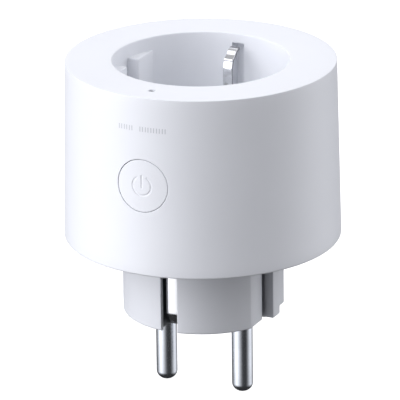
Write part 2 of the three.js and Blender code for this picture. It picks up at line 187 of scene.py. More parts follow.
MATS = {
    "housing": plastic("housing_white", (0.838, 0.848, 0.88), 0.36, 0.04),
    "button": plastic("button_white", (0.838, 0.848, 0.88), 0.33, 0.04),
    # the rear cover takes the housing's white made darker, as painted shade for the body's shadow over the plug nose
    "cover": plastic("cover_white", (0.74, 0.75, 0.78), 0.42, 0.05),
    # a darker grey for the faces in the grooves and on the ridge flanks: painted shade in the grooves
    "recess": plastic("cover_groove_painted_shade", (0.47, 0.48, 0.51), 0.6, 0.05),
    # near-black for the faces inside the earth slots: painted shade in the slots
    "slot_painted_shade": plastic("slot_painted_shade_grey", (0.1, 0.105, 0.115), 0.5, 0.05),
    "socket": plastic("socket_white", (0.80, 0.82, 0.85), 0.42, 0.05),
    "ink": plastic("print_grey", (0.6, 0.61, 0.64), 0.6, 0.05),
    "pin": metal("pin_nickel", (0.68, 0.707, 0.745), 0.24, 0.05, (1, 1, 0.5), 700, 0.000003, 0.06),
    "sheet": metal("sheet_nickel", (0.78, 0.78, 0.79), 0.2, 0.06, (1, 12, 1)),
    "clip": metal("clip_nickel", (0.8, 0.8, 0.81), 0.17, 0.05, (12, 1, 1)),
    # dark grey for the sheared side faces of the strips, and painted shade on the clip's tip inside its recess
    "cut_edge_and_shade": metal("cut_edge_and_painted_shade", (0.3, 0.3, 0.32), 0.42, 0.08, (1, 1, 1), 1500, 0.000006, 0.1),
    "steel": metal("zinc_steel", (0.55, 0.56, 0.58), 0.3, 0.1, (1, 1, 1), 1400),
    "brass": metal("stamped_brass", (0.75, 0.56, 0.25), 0.27, 0.08, (1, 1, 20)),
    "copper": metal("bare_copper", (0.75, 0.4, 0.24), 0.3, 0.09, (20, 1, 1)),
    "wire": metal("enamelled_wire", (0.62, 0.26, 0.1), 0.28, 0.08, (1, 1, 60), 1200, 0.00003),
    "board": plastic("board_green", (0.03, 0.17, 0.07), 0.35, 0.08, 1500, 0.00001, 0.25),
    "track": plastic("board_track", (0.05, 0.26, 0.1), 0.32, 0.06, 1500, 0.00001, 0.2),
    "track_gold": metal("board_gold", (0.8, 0.6, 0.3), 0.25, 0.06, (1, 1, 1), 900, 0.000003),
    "board_blue": plastic("board_blue", (0.02, 0.06, 0.2), 0.35, 0.08, 1500, 0.00001, 0.25),
    "cream": plastic("carrier_cream", (0.68, 0.64, 0.54), 0.5, 0.07, 4000, 0.00001, 0.04),
    "black": plastic("black_plastic", (0.02, 0.02, 0.023), 0.45, 0.08, 3500, 0.00001, 0.2),
    "relay": plastic("relay_blue", (0.02, 0.07, 0.3), 0.4, 0.07, 3500, 0.00001, 0.1),
    "ferrite": plastic("ferrite", (0.035, 0.035, 0.04), 0.6, 0.1, 2500, 0.00003, 0.2),
    "tape": plastic("winding_tape", (0.75, 0.42, 0.03), 0.3, 0.08, 1200, 0.00003, 0.08),
    "sleeve": plastic("capacitor_sleeve", (0.015, 0.03, 0.12), 0.25, 0.06, 2500, 0.00001, 0.15),
    "film": plastic("film_capacitor", (0.65, 0.42, 0.04), 0.4, 0.07, 3000, 0.00001, 0.08),
    "mov": plastic("varistor_blue", (0.02, 0.09, 0.4), 0.3, 0.08, 2000, 0.00002, 0.12),
    "resistor": plastic("resistor_body", (0.18, 0.3, 0.12), 0.5, 0.08, 3000, 0.00002, 0.12),
    "manganin": metal("manganin", (0.45, 0.38, 0.3), 0.33, 0.08, (1, 20, 1)),
    "led": plastic("led_epoxy", (0.9, 0.82, 0.35), 0.2, 0.05, 3000, 0.000004, 0.05),
}


def light_guide():
    k = Mat("light_guide")
    # the guide is a dark grey so that the status light hole reads dark: painted shade in the hole
    k.link(k.ramp(k.noise(600, 3), [(0.3, (0.3, 0.31, 0.33)), (0.7, (0.36, 0.37, 0.39))]), k.b.inputs["Base Color"])
    k.link(k.span(k.noise(2500, 3), 0.16, 0.26), k.b.inputs["Roughness"])
    k.bump(k.noise(5000, 2), 0.2, 0.000003)
    k.set(IOR=1.49)
    return k.m


MATS["guide"] = light_guide()


# ---------------------------------------------------------------- mesh helpers, in millimetres
def new_object(name, verts, faces, mat=None):
    me = bpy.data.meshes.new(name)
    me.from_pydata([(x * MM, y * MM, z * MM) for x, y, z in verts], [], faces)
    me.validate()
    me.update()
    ob = bpy.data.objects.new(name, me)
    scene.collection.objects.link(ob)
    if mat:
        me.materials.append(MATS[mat])
    return ob


def outward(ob):
    bm = bmesh.new()
    bm.from_mesh(ob.data)
    bmesh.ops.recalc_face_normals(bm, faces=bm.faces)
    bm.to_mesh(ob.data)
    bm.free()
    return ob


def shade(ob, angle=32, tidy=True):
    bm = bmesh.new()
    bm.from_mesh(ob.data)
    if tidy:
        bmesh.ops.remove_doubles(bm, verts=bm.verts, dist=2e-7)
        bmesh.ops.dissolve_degenerate(bm, edges=bm.edges, dist=1e-7)
    limit = math.radians(angle)
    for f in bm.faces:
        f.smooth = True
    for e in bm.edges:
        e.smooth = len(e.link_faces) == 2 and e.calc_face_angle(0) < limit
    bm.to_mesh(ob.data)
    bm.free()
    ob.data.update()
    return ob


def corner(points, radii, steps=6, closed=False):
    """A polyline with each corner that has a radius turned into an arc."""
    out = []
    n = len(points)
    for i, p in enumerate(points):
        r = radii[i] if i < len(radii) else 0
        if r <= 0 or (not closed and i in (0, n - 1)):
            out.append(tuple(p))
            continue
        p = Vector(p)
        a = Vector(points[(i - 1) % n]) - p
        b = Vector(points[(i + 1) % n]) - p
        la, lb = a.length, b.length
        a.normalize()
        b.normalize()
        half = a.angle(b) / 2
        d = min(r / math.tan(half), la * 0.49, lb * 0.49)
        r2 = d * math.tan(half)
        c = p + (a + b).normalized() * (r2 / math.sin(half))
        s, e = p + a * d - c, p + b * d - c
        turn = math.atan2(s.x * e.y - s.y * e.x, s.dot(e))
        for k in range(steps + 1):
            t = turn * k / steps
            out.append((c.x + s.x * math.cos(t) - s.y * math.sin(t), c.y + s.x * math.sin(t) + s.y * math.cos(t)))
    return out


def densify(profile, step):
    out = [profile[0]]
    for a, b in zip(profile, profile[1:]):
        d = math.dist(a, b)
        k = max(1, round(d / step))
        for i in range(1, k + 1):
            out.append((a[0] + (b[0] - a[0]) * i / k, a[1] + (b[1] - a[1]) * i / k))
    return out


def revolve(name, profile, seg=128, mat=None, x=0.0, y=0.0, loop=False):
    """A closed body of revolution about Z from (radius, z). With loop, the profile closes on itself."""
    verts, rows = [], []
    for r, z in profile:
        if r < 1e-6:
            rows.append([len(verts)])
            verts.append((x, y, z))
        else:
            rows.append(list(range(len(verts), len(verts) + seg)))
            verts += [(x + r * math.cos(2 * math.pi * i / seg), y + r * math.sin(2 * math.pi * i / seg), z) for i in range(seg)]
    faces = []
    pairs = list(zip(rows, rows[1:]))
    if loop:
        pairs.append((rows[-1], rows[0]))
    for a, b in pairs:
        if len(a) == 1 and len(b) == 1:
            continue
        for i in range(seg):
            j = (i + 1) % seg
            if len(a) == 1:
                faces.append((a[0], b[j], b[i]))
            elif len(b) == 1:
                faces.append((a[i], a[j], b[0]))
            else:
                faces.append((a[i], a[j], b[j], b[i]))
    return outward(new_object(name, verts, faces, mat))


def rod(name, r, z0, z1, seg=48, mat=None, x=0.0, y=0.0, edge=0.0):
    if edge > 0:
        prof = corner([(0, z0), (r, z0), (r, z1), (0, z1)], [0, edge, edge, 0], 4)
    else:
        prof = [(0, z0), (r, z0), (r, z1), (0, z1)]
    return revolve(name, prof, seg, mat, x, y)


def prism(name, outline, z0, z1, mat=None, edge0=0.0, edge1=0.0, steps=4, rows=1):
    """An extruded outline whose lower and upper edges are rounded."""
    n = len(outline)
    area = sum(outline[i][0] * outline[(i + 1) % n][1] - outline[(i + 1) % n][0] * outline[i][1] for i in range(n))
    pts = list(outline) if area > 0 else list(reversed(outline))
    normals = []
    for i in range(n):
        a, b, c = Vector(pts[i - 1]), Vector(pts[i]), Vector(pts[(i + 1) % n])
        d1, d2 = (b - a).normalized(), (c - b).normalized()
        n1, n2 = Vector((d1.y, -d1.x)), Vector((d2.y, -d2.x))
        m = (n1 + n2).normalized()
        normals.append(m / max(m.dot(n1), 0.6))
    levels = []
    if edge0 > 0:
        for k in range(steps + 1):
            t = math.pi / 2 * k / steps
            levels.append((z0 + edge0 * (1 - math.cos(t)), edge0 * (1 - math.sin(t))))
    else:
        levels.append((z0, 0))
    for k in range(1, rows):
        levels.append((z0 + (z1 - z0) * k / rows, 0))
    if edge1 > 0:
        for k in range(steps + 1):
            t = math.pi / 2 * k / steps
            levels.append((z1 - edge1 * (1 - math.sin(t)), edge1 * (1 - math.cos(t))))
    else:
        levels.append((z1, 0))
    verts = []
    for z, inset in levels:
        verts += [(p[0] - m.x * inset, p[1] - m.y * inset, z) for p, m in zip(pts, normals)]
    faces = [tuple(range(n - 1, -1, -1))]
    for k in range(len(levels) - 1):
        for i in range(n):
            j = (i + 1) % n
            faces.append((k * n + i, k * n + j, (k + 1) * n + j, (k + 1) * n + i))
    faces.append(tuple(range((len(levels) - 1) * n, len(levels) * n)))
    return outward(new_object(name, verts, faces, mat))


def block(name, x0, x1, y0, y1, z0, z1, mat=None, edge=0.0, seg=3):
    """A box with rounded edges."""
    v = [(x, y, z) for x in (x0, x1) for y in (y0, y1) for z in (z0, z1)]
    f = [(0, 1, 3, 2), (4, 6, 7, 5), (0, 4, 5, 1), (2, 3, 7, 6), (0, 2, 6, 4), (1, 5, 7, 3)]
    ob = outward(new_object(name, v, f, mat))
    if edge > 0:
        bm = bmesh.new()
        bm.from_mesh(ob.data)
        bmesh.ops.bevel(bm, geom=list(bm.edges), offset=edge * MM, segments=seg, profile=0.5, affect="EDGES", clamp_overlap=True)
        bm.to_mesh(ob.data)
        bm.free()
    return ob


def boolean(ob, other, op="DIFFERENCE", solver="MANIFOLD", keep=False):
    mod = ob.modifiers.new("cut", "BOOLEAN")
    mod.operation = op
    mod.object = other
    mod.solver = solver
    dg = bpy.context.evaluated_depsgraph_get()
    me = bpy.data.meshes.new_from_object(ob.evaluated_get(dg))
    ob.modifiers.clear()
    old = ob.data
    ob.data = me
    me.name = ob.name
    bpy.data.meshes.remove(old)
    if not keep:
        drop(other)
    return ob


def drop(ob):
    me = ob.data
    bpy.data.objects.remove(ob)
    bpy.data.meshes.remove(me)


def join(name, obs, mat=None):
    """Several closed shells as one object."""
    bm = bmesh.new()
    for o in obs:
        bm.from_mesh(o.data)
    me = bpy.data.meshes.new(name)
    bm.to_mesh(me)
    bm.free()
    for o in obs:
        drop(o)
    ob = bpy.data.objects.new(name, me)
    scene.collection.objects.link(ob)
    if mat:
        me.materials.append(MATS[mat])
    return ob


def turned(ob, matrix):
    ob.data.transform(matrix)
    return ob


def mirrored(ob, name, axis):
    me = ob.data.copy()
    s = [1, 1, 1]
    s["xyz".index(axis)] = -1
    me.transform(Matrix.Diagonal((*s, 1)))
    me.flip_normals()
    o = bpy.data.objects.new(name, me)
    scene.collection.objects.link(o)
    return o


def smooth_line(points, sub=8):
    out = []
    n = len(points)
    for i in range(n - 1):
        p0, p1 = Vector(points[max(i - 1, 0)]), Vector(points[i])
        p2, p3 = Vector(points[i + 1]), Vector(points[min(i + 2, n - 1)])
        for k in range(sub):
            t = k / sub
            out.append(
                0.5 * (2 * p1 + (p2 - p0) * t + (2 * p0 - 5 * p1 + 4 * p2 - p3) * t * t + (3 * p1 - p0 - 3 * p2 + p3) * t**3)
            )
    out.append(Vector(points[-1]))
    return out


def sheet_strip(name, line, t, hw, mat, r=0.16, end_r=0.35, widths=None):
    """A bent strip of sheet with softened edges; line is its centre line in Y and Z."""
    n = len(line)
    ring = []
    ht = t / 2
    for cx, cn, a0 in ((hw - r, ht - r, 0), (-(hw - r), ht - r, 90), (-(hw - r), -(ht - r), 180), (hw - r, -(ht - r), 270)):
        for k in range(4):
            a = math.radians(a0 + 90 * k / 3)
            ring.append((cx + r * math.cos(a), cn + r * math.sin(a)))
    m = len(ring)
    verts = []

    def put(i, along, k_w, k_t):
        a, b = line[max(i - 1, 0)], line[min(i + 1, n - 1)]
        d = (b - a).normalized()
        nn = Vector((-d.y, d.x))
        c = line[i] + d * along
        wide = widths(i / (n - 1)) if widths else 1.0
        for x, h in ring:
            p = c + nn * (h * k_t)
            verts.append((x * k_w * wide, p.x, p.y))

    levels = 0
    for i in range(n):
        if i == 0:
            for along, kw, kt in ((0.0, 1 - end_r / hw, 0.55), (0.05, 1 - end_r / hw * 0.45, 0.8), (0.15, 1 - end_r / hw * 0.15, 1.0)):
                put(i, along, kw, kt)
                levels += 1
            continue
        if i == n - 1:
            for along, kw, kt in ((-0.15, 1 - end_r / hw * 0.15, 1.0), (-0.05, 1 - end_r / hw * 0.45, 0.8), (0.0, 1 - end_r / hw, 0.55)):
                put(i, along, kw, kt)
                levels += 1
            continue
        put(i, 0, 1, 1)
        levels += 1
    faces = [tuple(range(m - 1, -1, -1))]
    for k in range(levels - 1):
        for i in range(m):
            j = (i + 1) % m
            faces.append((k * m + i, k * m + j, (k + 1) * m + j, (k + 1) * m + i))
    faces.append(tuple(range((levels - 1) * m, levels * m)))
    ob = outward(new_object(name, verts, faces, mat))
    ob.data.materials.append(MATS["cut_edge_and_shade"])
    for f in ob.data.polygons:
        f.material_index = 1 if abs(f.normal.x) > 0.8 else 0
    return shade(ob, 40, False)


PIECES = []


def piece(ob, body, nodes):
    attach(ob, body)
    if nodes:
        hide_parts(*nodes)
    PIECES.append(ob)
    return ob


# ---------------------------------------------------------------- front housing
def cone_y(x, z):
    """The body's surface on its -Y side."""
    return -math.sqrt(body_r(z) ** 2 - x * x)


def warped_ring(name, profile, seg, mat=None, loop=False):
    """A turned body about the button's axis whose (radius, depth) is measured in from the body's curved surface."""
    ob = revolve(name, profile, seg, mat, loop=loop)
    for v in ob.data.vertices:
        x, z, depth = v.co.x / MM, v.co.y / MM, v.co.z / MM
        z += BTN_Z
        # what lies outside the surface keeps the surface's shape
        v.co = Vector((x, cone_y(x, z) + depth, z)) * MM
    return outward(ob)


def make_housing():
    rb = lambda z: body_r(z)
    # one closed loop: outer wall, top ring, well wall, inner faces
    prof = [
        (rb(BODY_Z0), BODY_Z0),
        (rb(BODY_Z1), BODY_Z1),
        (WELL_R, BODY_Z1),
        (WELL_R, WELL_Z0),
        (WELL_R + WELL_WALL, WELL_Z0),
        (WELL_R + WELL_WALL, BODY_Z1 - 2),
        (rb(BODY_Z1 - 2) - 2, BODY_Z1 - 2),
        (rb(BODY_Z0) - 2, BODY_Z0),
    ]
    prof = corner(prof, [0.45, 0.13, 0.26, 0.15, 0.15, 0.6, 0.8, 0.2], 7, closed=True)
    prof.append(prof[0])
    prof = densify(prof, 2.2)[:-1]
    ob = revolve("front_housing_shell", prof, 288, "housing", loop=True)
    # clip channels behind the well wall
    for s in (1, -1):
        y0, y1 = (20.6, RECESS_Y + 1.1) if s > 0 else (-RECESS_Y - 1.1, -20.6)
        boolean(ob, block("bump", -2.9, 2.9, y0, y1, WELL_Z0, BODY_Z1 - 1.2, edge=0.25), "UNION")
    for s in (1, -1):
        y0, y1 = (16, RECESS_Y) if s > 0 else (-RECESS_Y, -16)
        boolean(ob, block("recess", -RECESS_HW, RECESS_HW, y0, y1, WELL_Z0 - 1, RECESS_TOP, edge=0.2))
    # guide ribs, with a groove between each pair
    for sx in (1, -1):
        for sy in (1, -1):
            out = [(RIB_X, RIB_GAP), (20.6, RIB_GAP)]
            a0, a1 = math.asin(RIB_GAP / 20.6), math.acos(RIB_X / 20.6)
            out = [(20.6 * math.cos(a0 + (a1 - a0) * k / 12), 20.6 * math.sin(a0 + (a1 - a0) * k / 12)) for k in range(13)]
            out = [(RIB_X, RIB_GAP)] + out
            out = corner(out, [0.5] + [0] * 13, 6, closed=True)
            out = [(x * sx, y * sy) for x, y in out]
            boolean(ob, prism("rib", out, WELL_Z0 + 0.05, RIB_TOP, edge1=0.3), "UNION")
    # screw columns down from the sleeve
    for k in range(4):
        a = math.radians(45 + 90 * k)
        x, y = SCREW_R * math.cos(a), SCREW_R * math.sin(a)
        col = rod("column", 3.9, 21.5, 36, 48, x=x, y=y, edge=0.3)
        boolean(col, revolve("keep", [(0, 20), (29.9, 20), (29.9, 40), (0, 40)], 96), "INTERSECT")
        boolean(ob, col, "UNION")
        boolean(ob, rod("pilot", 1.6, 20, 32.5, 32, x=x, y=y))
    # button hole with a softened lip that follows the curved wall
    lip = corner([(0, -1.2), (7.2, -1.2), (7.2, 0.0), (BTN_HOLE_R, 0.0), (BTN_HOLE_R, 4.6), (0, 4.6)], [0, 0, 0, 0.09, 0, 0], 6)
    lip = densify(lip, 0.7)
    boolean(ob, warped_ring("hole", lip, 144))
    # status light hole
    hole = corner([(0, 55), (0.8, 55), (0.8, BODY_Z1), (1.1, BODY_Z1), (1.1, 60), (0, 60)], [0, 0, 0.05, 0, 0, 0], 5)
    boolean(ob, revolve("pinhole", hole, 48, y=LED_Y))
    return shade(ob, 30)


housing = piece(make_housing(), "housing", ["front_housing"])


# ---------------------------------------------------------------- button with its engraved standby symbol
def symbol_distance(x, z):
    """Distance from the line of the symbol: a ring open at the top, and a bar in the opening."""
    r, gap = 2.2, math.radians(33)
    a = math.atan2(x, z)
    if abs(a) >= gap:
        d_ring = abs(math.hypot(x, z) - r)
    else:
        e = Vector((r * math.sin(math.copysign(gap, a)), r * math.cos(gap)))
        d_ring = (Vector((x, z)) - e).length
    zz = min(max(z, -0.28), 2.3)
    d_bar = math.hypot(x, z - zz)
    return min(d_ring, d_bar)


def make_button():
    seg = 264
    radii = []
    r = 0.0
    while r < BTN_R - 0.24:
        radii.append(r)
        r += 0.062 if r < 2.9 else 0.12
    lip = 0.11
    prof = [(rr, 0.0) for rr in radii]
    prof += [(BTN_R - lip + lip * math.sin(t), lip * (1 - math.cos(t))) for t in [math.pi / 2 * k / 6 for k in range(7)]]
    prof += [(BTN_R, 0.6), (BTN_R, 1.2)]
    ob = revolve("button_cap", prof + [(BTN_R, 2.2), (0, 2.2)], seg, "button")
    half, depth, soft = 0.16, 0.1, 0.11
    for v in ob.data.vertices:
        x, z, d = v.co.x / MM, v.co.y / MM, v.co.z / MM
        if d < 0.01 and math.hypot(x, z) < 4:
            t = 1 - min(max((symbol_distance(x, z) - half) / soft, 0), 1)
            d += depth * t * t * (3 - 2 * t)
        z += BTN_Z
        if d < 2.1:
            v.co = Vector((x + BTN_SEAT, cone_y(x + BTN_SEAT, z) + d, z)) * MM
        else:
            v.co = Vector((x + BTN_SEAT, -27.5, z)) * MM
    outward(ob)
    flange = revolve("flange", corner([(0, 0), (6.9, 0), (6.9, 1), (0, 1)], [0, 0.2, 0.2, 0], 4), 96)
    post = revolve("post", corner([(0, 0), (1.3, 0), (1.3, 0.4), (0, 0.4)], [0, 0, 0.1, 0], 3), 48)
    rot = Matrix.Rotation(math.radians(-90), 4, "X")  # +Z turns to +Y
    turned(flange, Matrix.Translation(Vector((0, -27.55, BTN_Z)) * MM) @ rot)
    turned(post, Matrix.Translation(Vector((0, -26.7, BTN_Z)) * MM) @ rot)
    boolean(flange, post, "UNION")
    boolean(ob, flange, "UNION")
    return shade(ob, 32)


piece(make_button(), "button", ["power_button"])


# ---------------------------------------------------------------- plain printed ticks above the button
def make_ticks():
    """Short plain strokes, in a group of three and a group of five."""
    marks = []
    for g in range(9):
        if g == 3:
            continue
        cx = -5.2 + g * 1.3
        for dx in (-0.32, 0.3):
            marks.append((cx + dx, 51.67, 0.11, 0.56))
    verts, faces = [], []
    for cx, cz, hw, hh in marks:
        base = len(verts)
        for d in (0.012, -0.014):
            for sx, sz in ((-1, -1), (1, -1), (1, 1), (-1, 1)):
                x, z = cx + sx * hw, cz + sz * hh
                verts.append((x, cone_y(x, z) + d, z))
        b = base
        faces += [(b, b + 1, b + 2, b + 3), (b + 7, b + 6, b + 5, b + 4)]
        faces += [(b + i, b + 4 + i, b + 4 + (i + 1) % 4, b + (i + 1) % 4) for i in range(4)]
    return outward(new_object("printed_ticks", verts, faces, "ink"))


piece(make_ticks(), "housing", [])


# ---------------------------------------------------------------- rear cover with the plug nose
def make_nose():
    """The plug nose: a round body with two flats, a ridge on each flat with a groove on both sides of it."""
    nose = revolve(
        "nose",
        corner([(0, 0), (NOSE_R, 0), (NOSE_R, COVER_Z0 + 0.6), (0, COVER_Z0 + 0.6)], [0, 0.5, 0, 0], 7),
        240,
        "cover",
    )
    boolean(nose, block("flats", -NOSE_FLAT, NOSE_FLAT, -30, 30, 0, 40, edge=0.5, seg=5), "INTERSECT")
    for sx in (1, -1):
        for sy in (1, -1):
            # the groove's outer edge is softened where it meets the flat
            r = 0.22
            cut = [(GROOVE_X, 1.2), (GROOVE_X, GROOVE_Y), (NOSE_FLAT - r, GROOVE_Y)]
            cut += [(NOSE_FLAT - r + r * math.sin(t), GROOVE_Y + r * (1 - math.cos(t))) for t in [math.pi / 2 * k / 5 for k in range(1, 6)]]
            cut += [(20, GROOVE_Y + r), (20, 1.2)]
            boolean(nose, prism("groove", [(x * sx, y * sy) for x, y in cut], -1, BODY_Z0 + 0.3))
    for s in (1, -1):
        a = math.asin(RIDGE_HW / NOSE_R)
        arc = [(NOSE_R * math.cos(a * (k / 4 - 1)), NOSE_R * math.sin(a * (k / 4 - 1))) for k in range(9)]
        out = corner([(11, -RIDGE_HW)] + arc + [(11, RIDGE_HW)], [0, 0.5] + [0] * 7 + [0.5, 0], 5, closed=True)
        boolean(nose, prism("ridge", [(x * s, y) for x, y in out], 0.36, COVER_Z0 + 0.5, edge0=0.35, steps=5), "UNION")
        for sy in (1, -1):
            # the ridge is undercut beside the flat
            x0, x1 = sorted((s * GROOVE_X, s * UNDER_X))
            y0, y1 = sorted((sy * UNDER_Y, sy * 2.2))
            boolean(nose, block("neck", x0, x1, y0, y1, -1, BODY_Z0 + 0.3, edge=0.12))
    return nose


def slot_outline():
    """The earth slot on +Y: a lip at the mouth, wider behind it."""
    r = 0.14
    top = math.sqrt(NOSE_R**2 - (SLOT_HW + r) ** 2) + 0.004
    half = [(UNDERCUT_HW, SLOT_Y), (UNDERCUT_HW, LIP_Y), (SLOT_HW, LIP_Y), (SLOT_HW, top - r)]
    half = corner(half, [0.15, 0.15, 0.12, 0], 4)
    half = corner([(0, SLOT_Y)] + half, [0.0] * 2, 4)
    half += [(SLOT_HW + r * (1 - math.cos(t)), top - r + r * math.sin(t)) for t in [math.pi / 2 * k / 5 for k in range(1, 6)]]
    half += [(SLOT_HW + r, 20)]
    return half + [(-x, y) for x, y in reversed(half) if x > 0]


def make_cover():
    plate = revolve(
        "rear_cover_shell",
        corner([(0, COVER_Z0), (COVER_R, COVER_Z0), (COVER_R, COVER_Z1), (0, COVER_Z1)], [0, 0.3, 0.2, 0], 4),
        192,
        "cover",
    )
    for k in range(4):
        a = math.radians(45 + 90 * k)
        x, y = SCREW_R * math.cos(a), SCREW_R * math.sin(a)
        boolean(plate, rod("boss", 3.5, COVER_Z1 - 0.5, 21.2, 40, x=x, y=y, edge=0.15), "UNION")
        pocket = revolve("pocket", corner([(0, 17), (3.2, 17), (3.2, COVER_Z0), (2.6, COVER_Z0), (2.6, 19.8), (0, 19.8)], [0, 0, 0, 0.15, 0.1, 0], 4), 48, x=x, y=y)
        boolean(plate, pocket)
        boolean(plate, rod("clear", 1.6, 19, 22, 32, x=x, y=y))
    boolean(plate, make_nose(), "UNION")
    for s in (1, -1):
        boolean(plate, prism("slot", [(x, y * s) for x, y in slot_outline()], -1, BODY_Z0 + 0.3))
        ya, yb = sorted((s * (SLOT_Y + 0.2), s * 17.0))
        boolean(plate, block("pass", -SLOT_HW + 0.1, SLOT_HW - 0.1, ya, yb, 14, 25, edge=0.1))
        ya, yb = sorted((s * 12.6, s * (LIP_Y - 0.4)))
        boolean(plate, block("foot", -UNDERCUT_HW, UNDERCUT_HW, ya, yb, -1, 2.1, edge=0.15))
    cav = block("cavity", -12.7, 12.7, -10.8, 10.8, 2, 30, edge=0.8)
    boolean(plate, cav)
    for s in (1, -1):
        hole = corner([(0, -1), (3.1, -1), (3.1, 0), (PIN_R + 0.12, 0), (PIN_R + 0.12, 3), (0, 3)], [0, 0, 0, 0.15, 0, 0], 4)
        boolean(plate, revolve("pinhole", hole, 64, x=s * PIN_X))
    shade(plate, 30)
    # painted shade: the faces inside the slots take a near-black grey, and the faces in the grooves and on the ridge
    # flanks a darker grey than the cover
    me = plate.data
    while len(me.materials) < 3:
        me.materials.append(MATS["cover"])
    me.materials[0] = MATS["cover"]
    me.materials[1] = MATS["slot_painted_shade"]
    me.materials[2] = MATS["recess"]
    for f in me.polygons:
        x, y, z = (abs(c) / MM for c in f.center)
        in_slot = x < UNDERCUT_HW + 0.05 and 12.4 < y < LIP_Y + 0.02 and z < BODY_Z0 + 0.35 and (y > 12.65 or z < 2.15)
        flat_bottom = f.normal.z < -0.9 and z < 0.01
        # the faces in the grooves beside the ridges and on the ridge flanks take the darker grey, as painted shade
        in_groove = 13.9 < x < NOSE_FLAT - 0.03 and y < GROOVE_Y + 0.02 and 0.05 < z < BODY_Z0 + 0.35
        flank = x > 13.9 and y < RIDGE_HW + 0.05 and abs(f.normal.y) > 0.75 and z > 0.4
        f.material_index = 1 if in_slot and not flat_bottom else 2 if (in_groove or flank) and not flat_bottom else 0
    return plate


piece(make_cover(), "housing", ["rear_cover"])


# ---------------------------------------------------------------- pins
def make_pin(name, x):
    tip = []
    # an ellipse-like nose over the last 2 mm
    for k in range(13):
        t = math.pi / 2 * k / 12
        tip.append((PIN_R * math.sin(t) ** 0.92, -PIN_LEN + 2.05 * (1 - math.cos(t))))
    prof = tip + [(PIN_R, -12), (PIN_R, -6), (PIN_R, 0), (PIN_R, 2.2), (2.8, 2.2), (2.9, 2.3), (2.9, 3.5), (2.8, 3.6), (1.5, 3.6), (1.5, 21.7), (1.3, 21.9), (0, 21.9)]
    return shade(revolve(name, prof, 96, "pin", x=x), 35)


piece(make_pin("live_pin_turned", PIN_X), "housing", ["live_pin"])
piece(make_pin("neutral_pin_turned", -PIN_X), "housing", ["neutral_pin"])

# ---------------------------------------------------------------- earth strips and clips
STRIP_LINE = [(13.1, 1.2), (13.55, 1.22), (13.95, 1.4), (14.4, 1.85), (15.1, 2.65), (15.75, 3.4), (16.0, 3.75), (16.1, 4.2), (16.1, 7), (16.1, 14), (16.1, 23.2), (16.2, 24.4), (16.45, 25.7), (16.6, 27), (16.6, 32), (16.6, 38.1)]
CLIP_LINE = [(16.6, 38.5), (16.6, 40.2), (16.55, 41.6), (16.2, 43.1), (15.1, 45.3), (14.4, 47.1), (14.16, 48.65), (14.14, 50.1), (14.13, 50.5), (14.05, 50.78), (14.03, 51.2), (14.05, 51.85), (14.18, 52.4), (14.45, 53.15), (14.67, 53.75), (14.69, 54.0), (14.7, 54.08), (14.79, 54.16), (15.22, 54.4), (15.7, 54.68), (16.02, 54.93), (16.4, 55.33), (16.7, 55.6), (17.05, 55.78), (17.6, 55.88), (18.15, 55.96)]
strip = sheet_strip("earth_strip_back_bent", smooth_line(STRIP_LINE, 6), STRIP_T, STRIP_HW, "sheet", end_r=0.4)
piece(strip, "housing", ["earth_strip_back"])
piece(mirrored(strip, "earth_strip_front_bent", "y"), "housing", ["earth_strip_front"])
clip = sheet_strip("earth_clip_back_bent", smooth_line(CLIP_LINE, 8), 0.66, CLIP_HW, "clip", r=0.1, end_r=0.3)
# the clip's tip past y = 17.35 mm takes the dark grey of the sheared edges as painted shade, for the shadow inside its
# recess
for f in clip.data.polygons:
    if f.center.y > 17.35 * MM:
        f.material_index = 1
piece(clip, "clip_back", ["earth_clip_back"])
piece(mirrored(clip, "earth_clip_front_bent", "y"), "clip_front", ["earth_clip_front"])


# ---------------------------------------------------------------- socket floor
def make_floor():
    ob = revolve(
        "socket_floor_plate",
        corner([(0, FLOOR_Z0 - 0.3), (21.2, FLOOR_Z0 - 0.3), (21.2, FLOOR_Z0), (19.4, FLOOR_Z0), (19.4, FLOOR_Z1), (0, FLOOR_Z1)], [0, 0, 0.1, 0, 0.15, 0], 3),
        160,
        "socket",
    )
    for s in (1, -1):
        x0, x1 = sorted((s * (RIB_X - 0.3), s * 25))
        boolean(ob, block("flat", x0, x1, -30, 30, FLOOR_Z0, 50))
    ring = revolve("ring", [(18, 38.3), (21.2, 38.3), (21.2, FLOOR_Z0 - 0.1), (18, FLOOR_Z0 - 0.1)], 160, loop=True)
    boolean(ob, ring, "UNION")
    for s in (1, -1):
        hole = corner([(0, 38), (2.95, 38), (2.95, FLOOR_Z1), (3.6, FLOOR_Z1), (3.6, 43), (0, 43)], [0, 0, 0.35, 0, 0, 0], 5)
        boolean(ob, revolve("hole", hole, 72, x=s * PIN_X))
        y0, y1 = sorted((s * 15.9, s * 17.9))
        boolean(ob, block("slot", -RECESS_HW, RECESS_HW, y0, y1, 37, 43, edge=0.2))
    boolean(ob, rod("blind", 1.4, 38, 40.6, 32))
    return shade(ob, 30)


piece(make_floor(), "housing", ["socket_floor"])


# ---------------------------------------------------------------- light pipe
pipe = revolve(
    "light_pipe_rod",
    corner([(0, 49), (1.1, 49), (1.1, 56.4), (0.71, 56.6), (0.71, 58.45), (0, 58.5)], [0, 0.15, 0.2, 0.1, 0.12, 0], 4),
    48,
    "guide",
    y=LED_Y,
)
piece(shade(pipe, 35), "housing", ["light_pipe"])


def assembled(name, parts, angle=35):
    """Several closed shells, each with its own material, as one object."""
    bm = bmesh.new()
    mats = []
    for ob, mat in parts:
        if mat not in mats:
            mats.append(mat)
        first = len(bm.faces)
        bm.from_mesh(ob.data)
        bm.faces.ensure_lookup_table()
        for f in bm.faces[first:]:
            f.material_index = mats.index(mat)
        drop(ob)
    me = bpy.data.meshes.new(name)
    bm.to_mesh(me)
    bm.free()
    for m in mats:
        me.materials.append(MATS[m])
    ob = bpy.data.objects.new(name, me)
    scene.collection.objects.link(ob)
    return shade(ob, angle, False)


def fitted(node, ob, body="housing"):
    return piece(ob, body, [node])


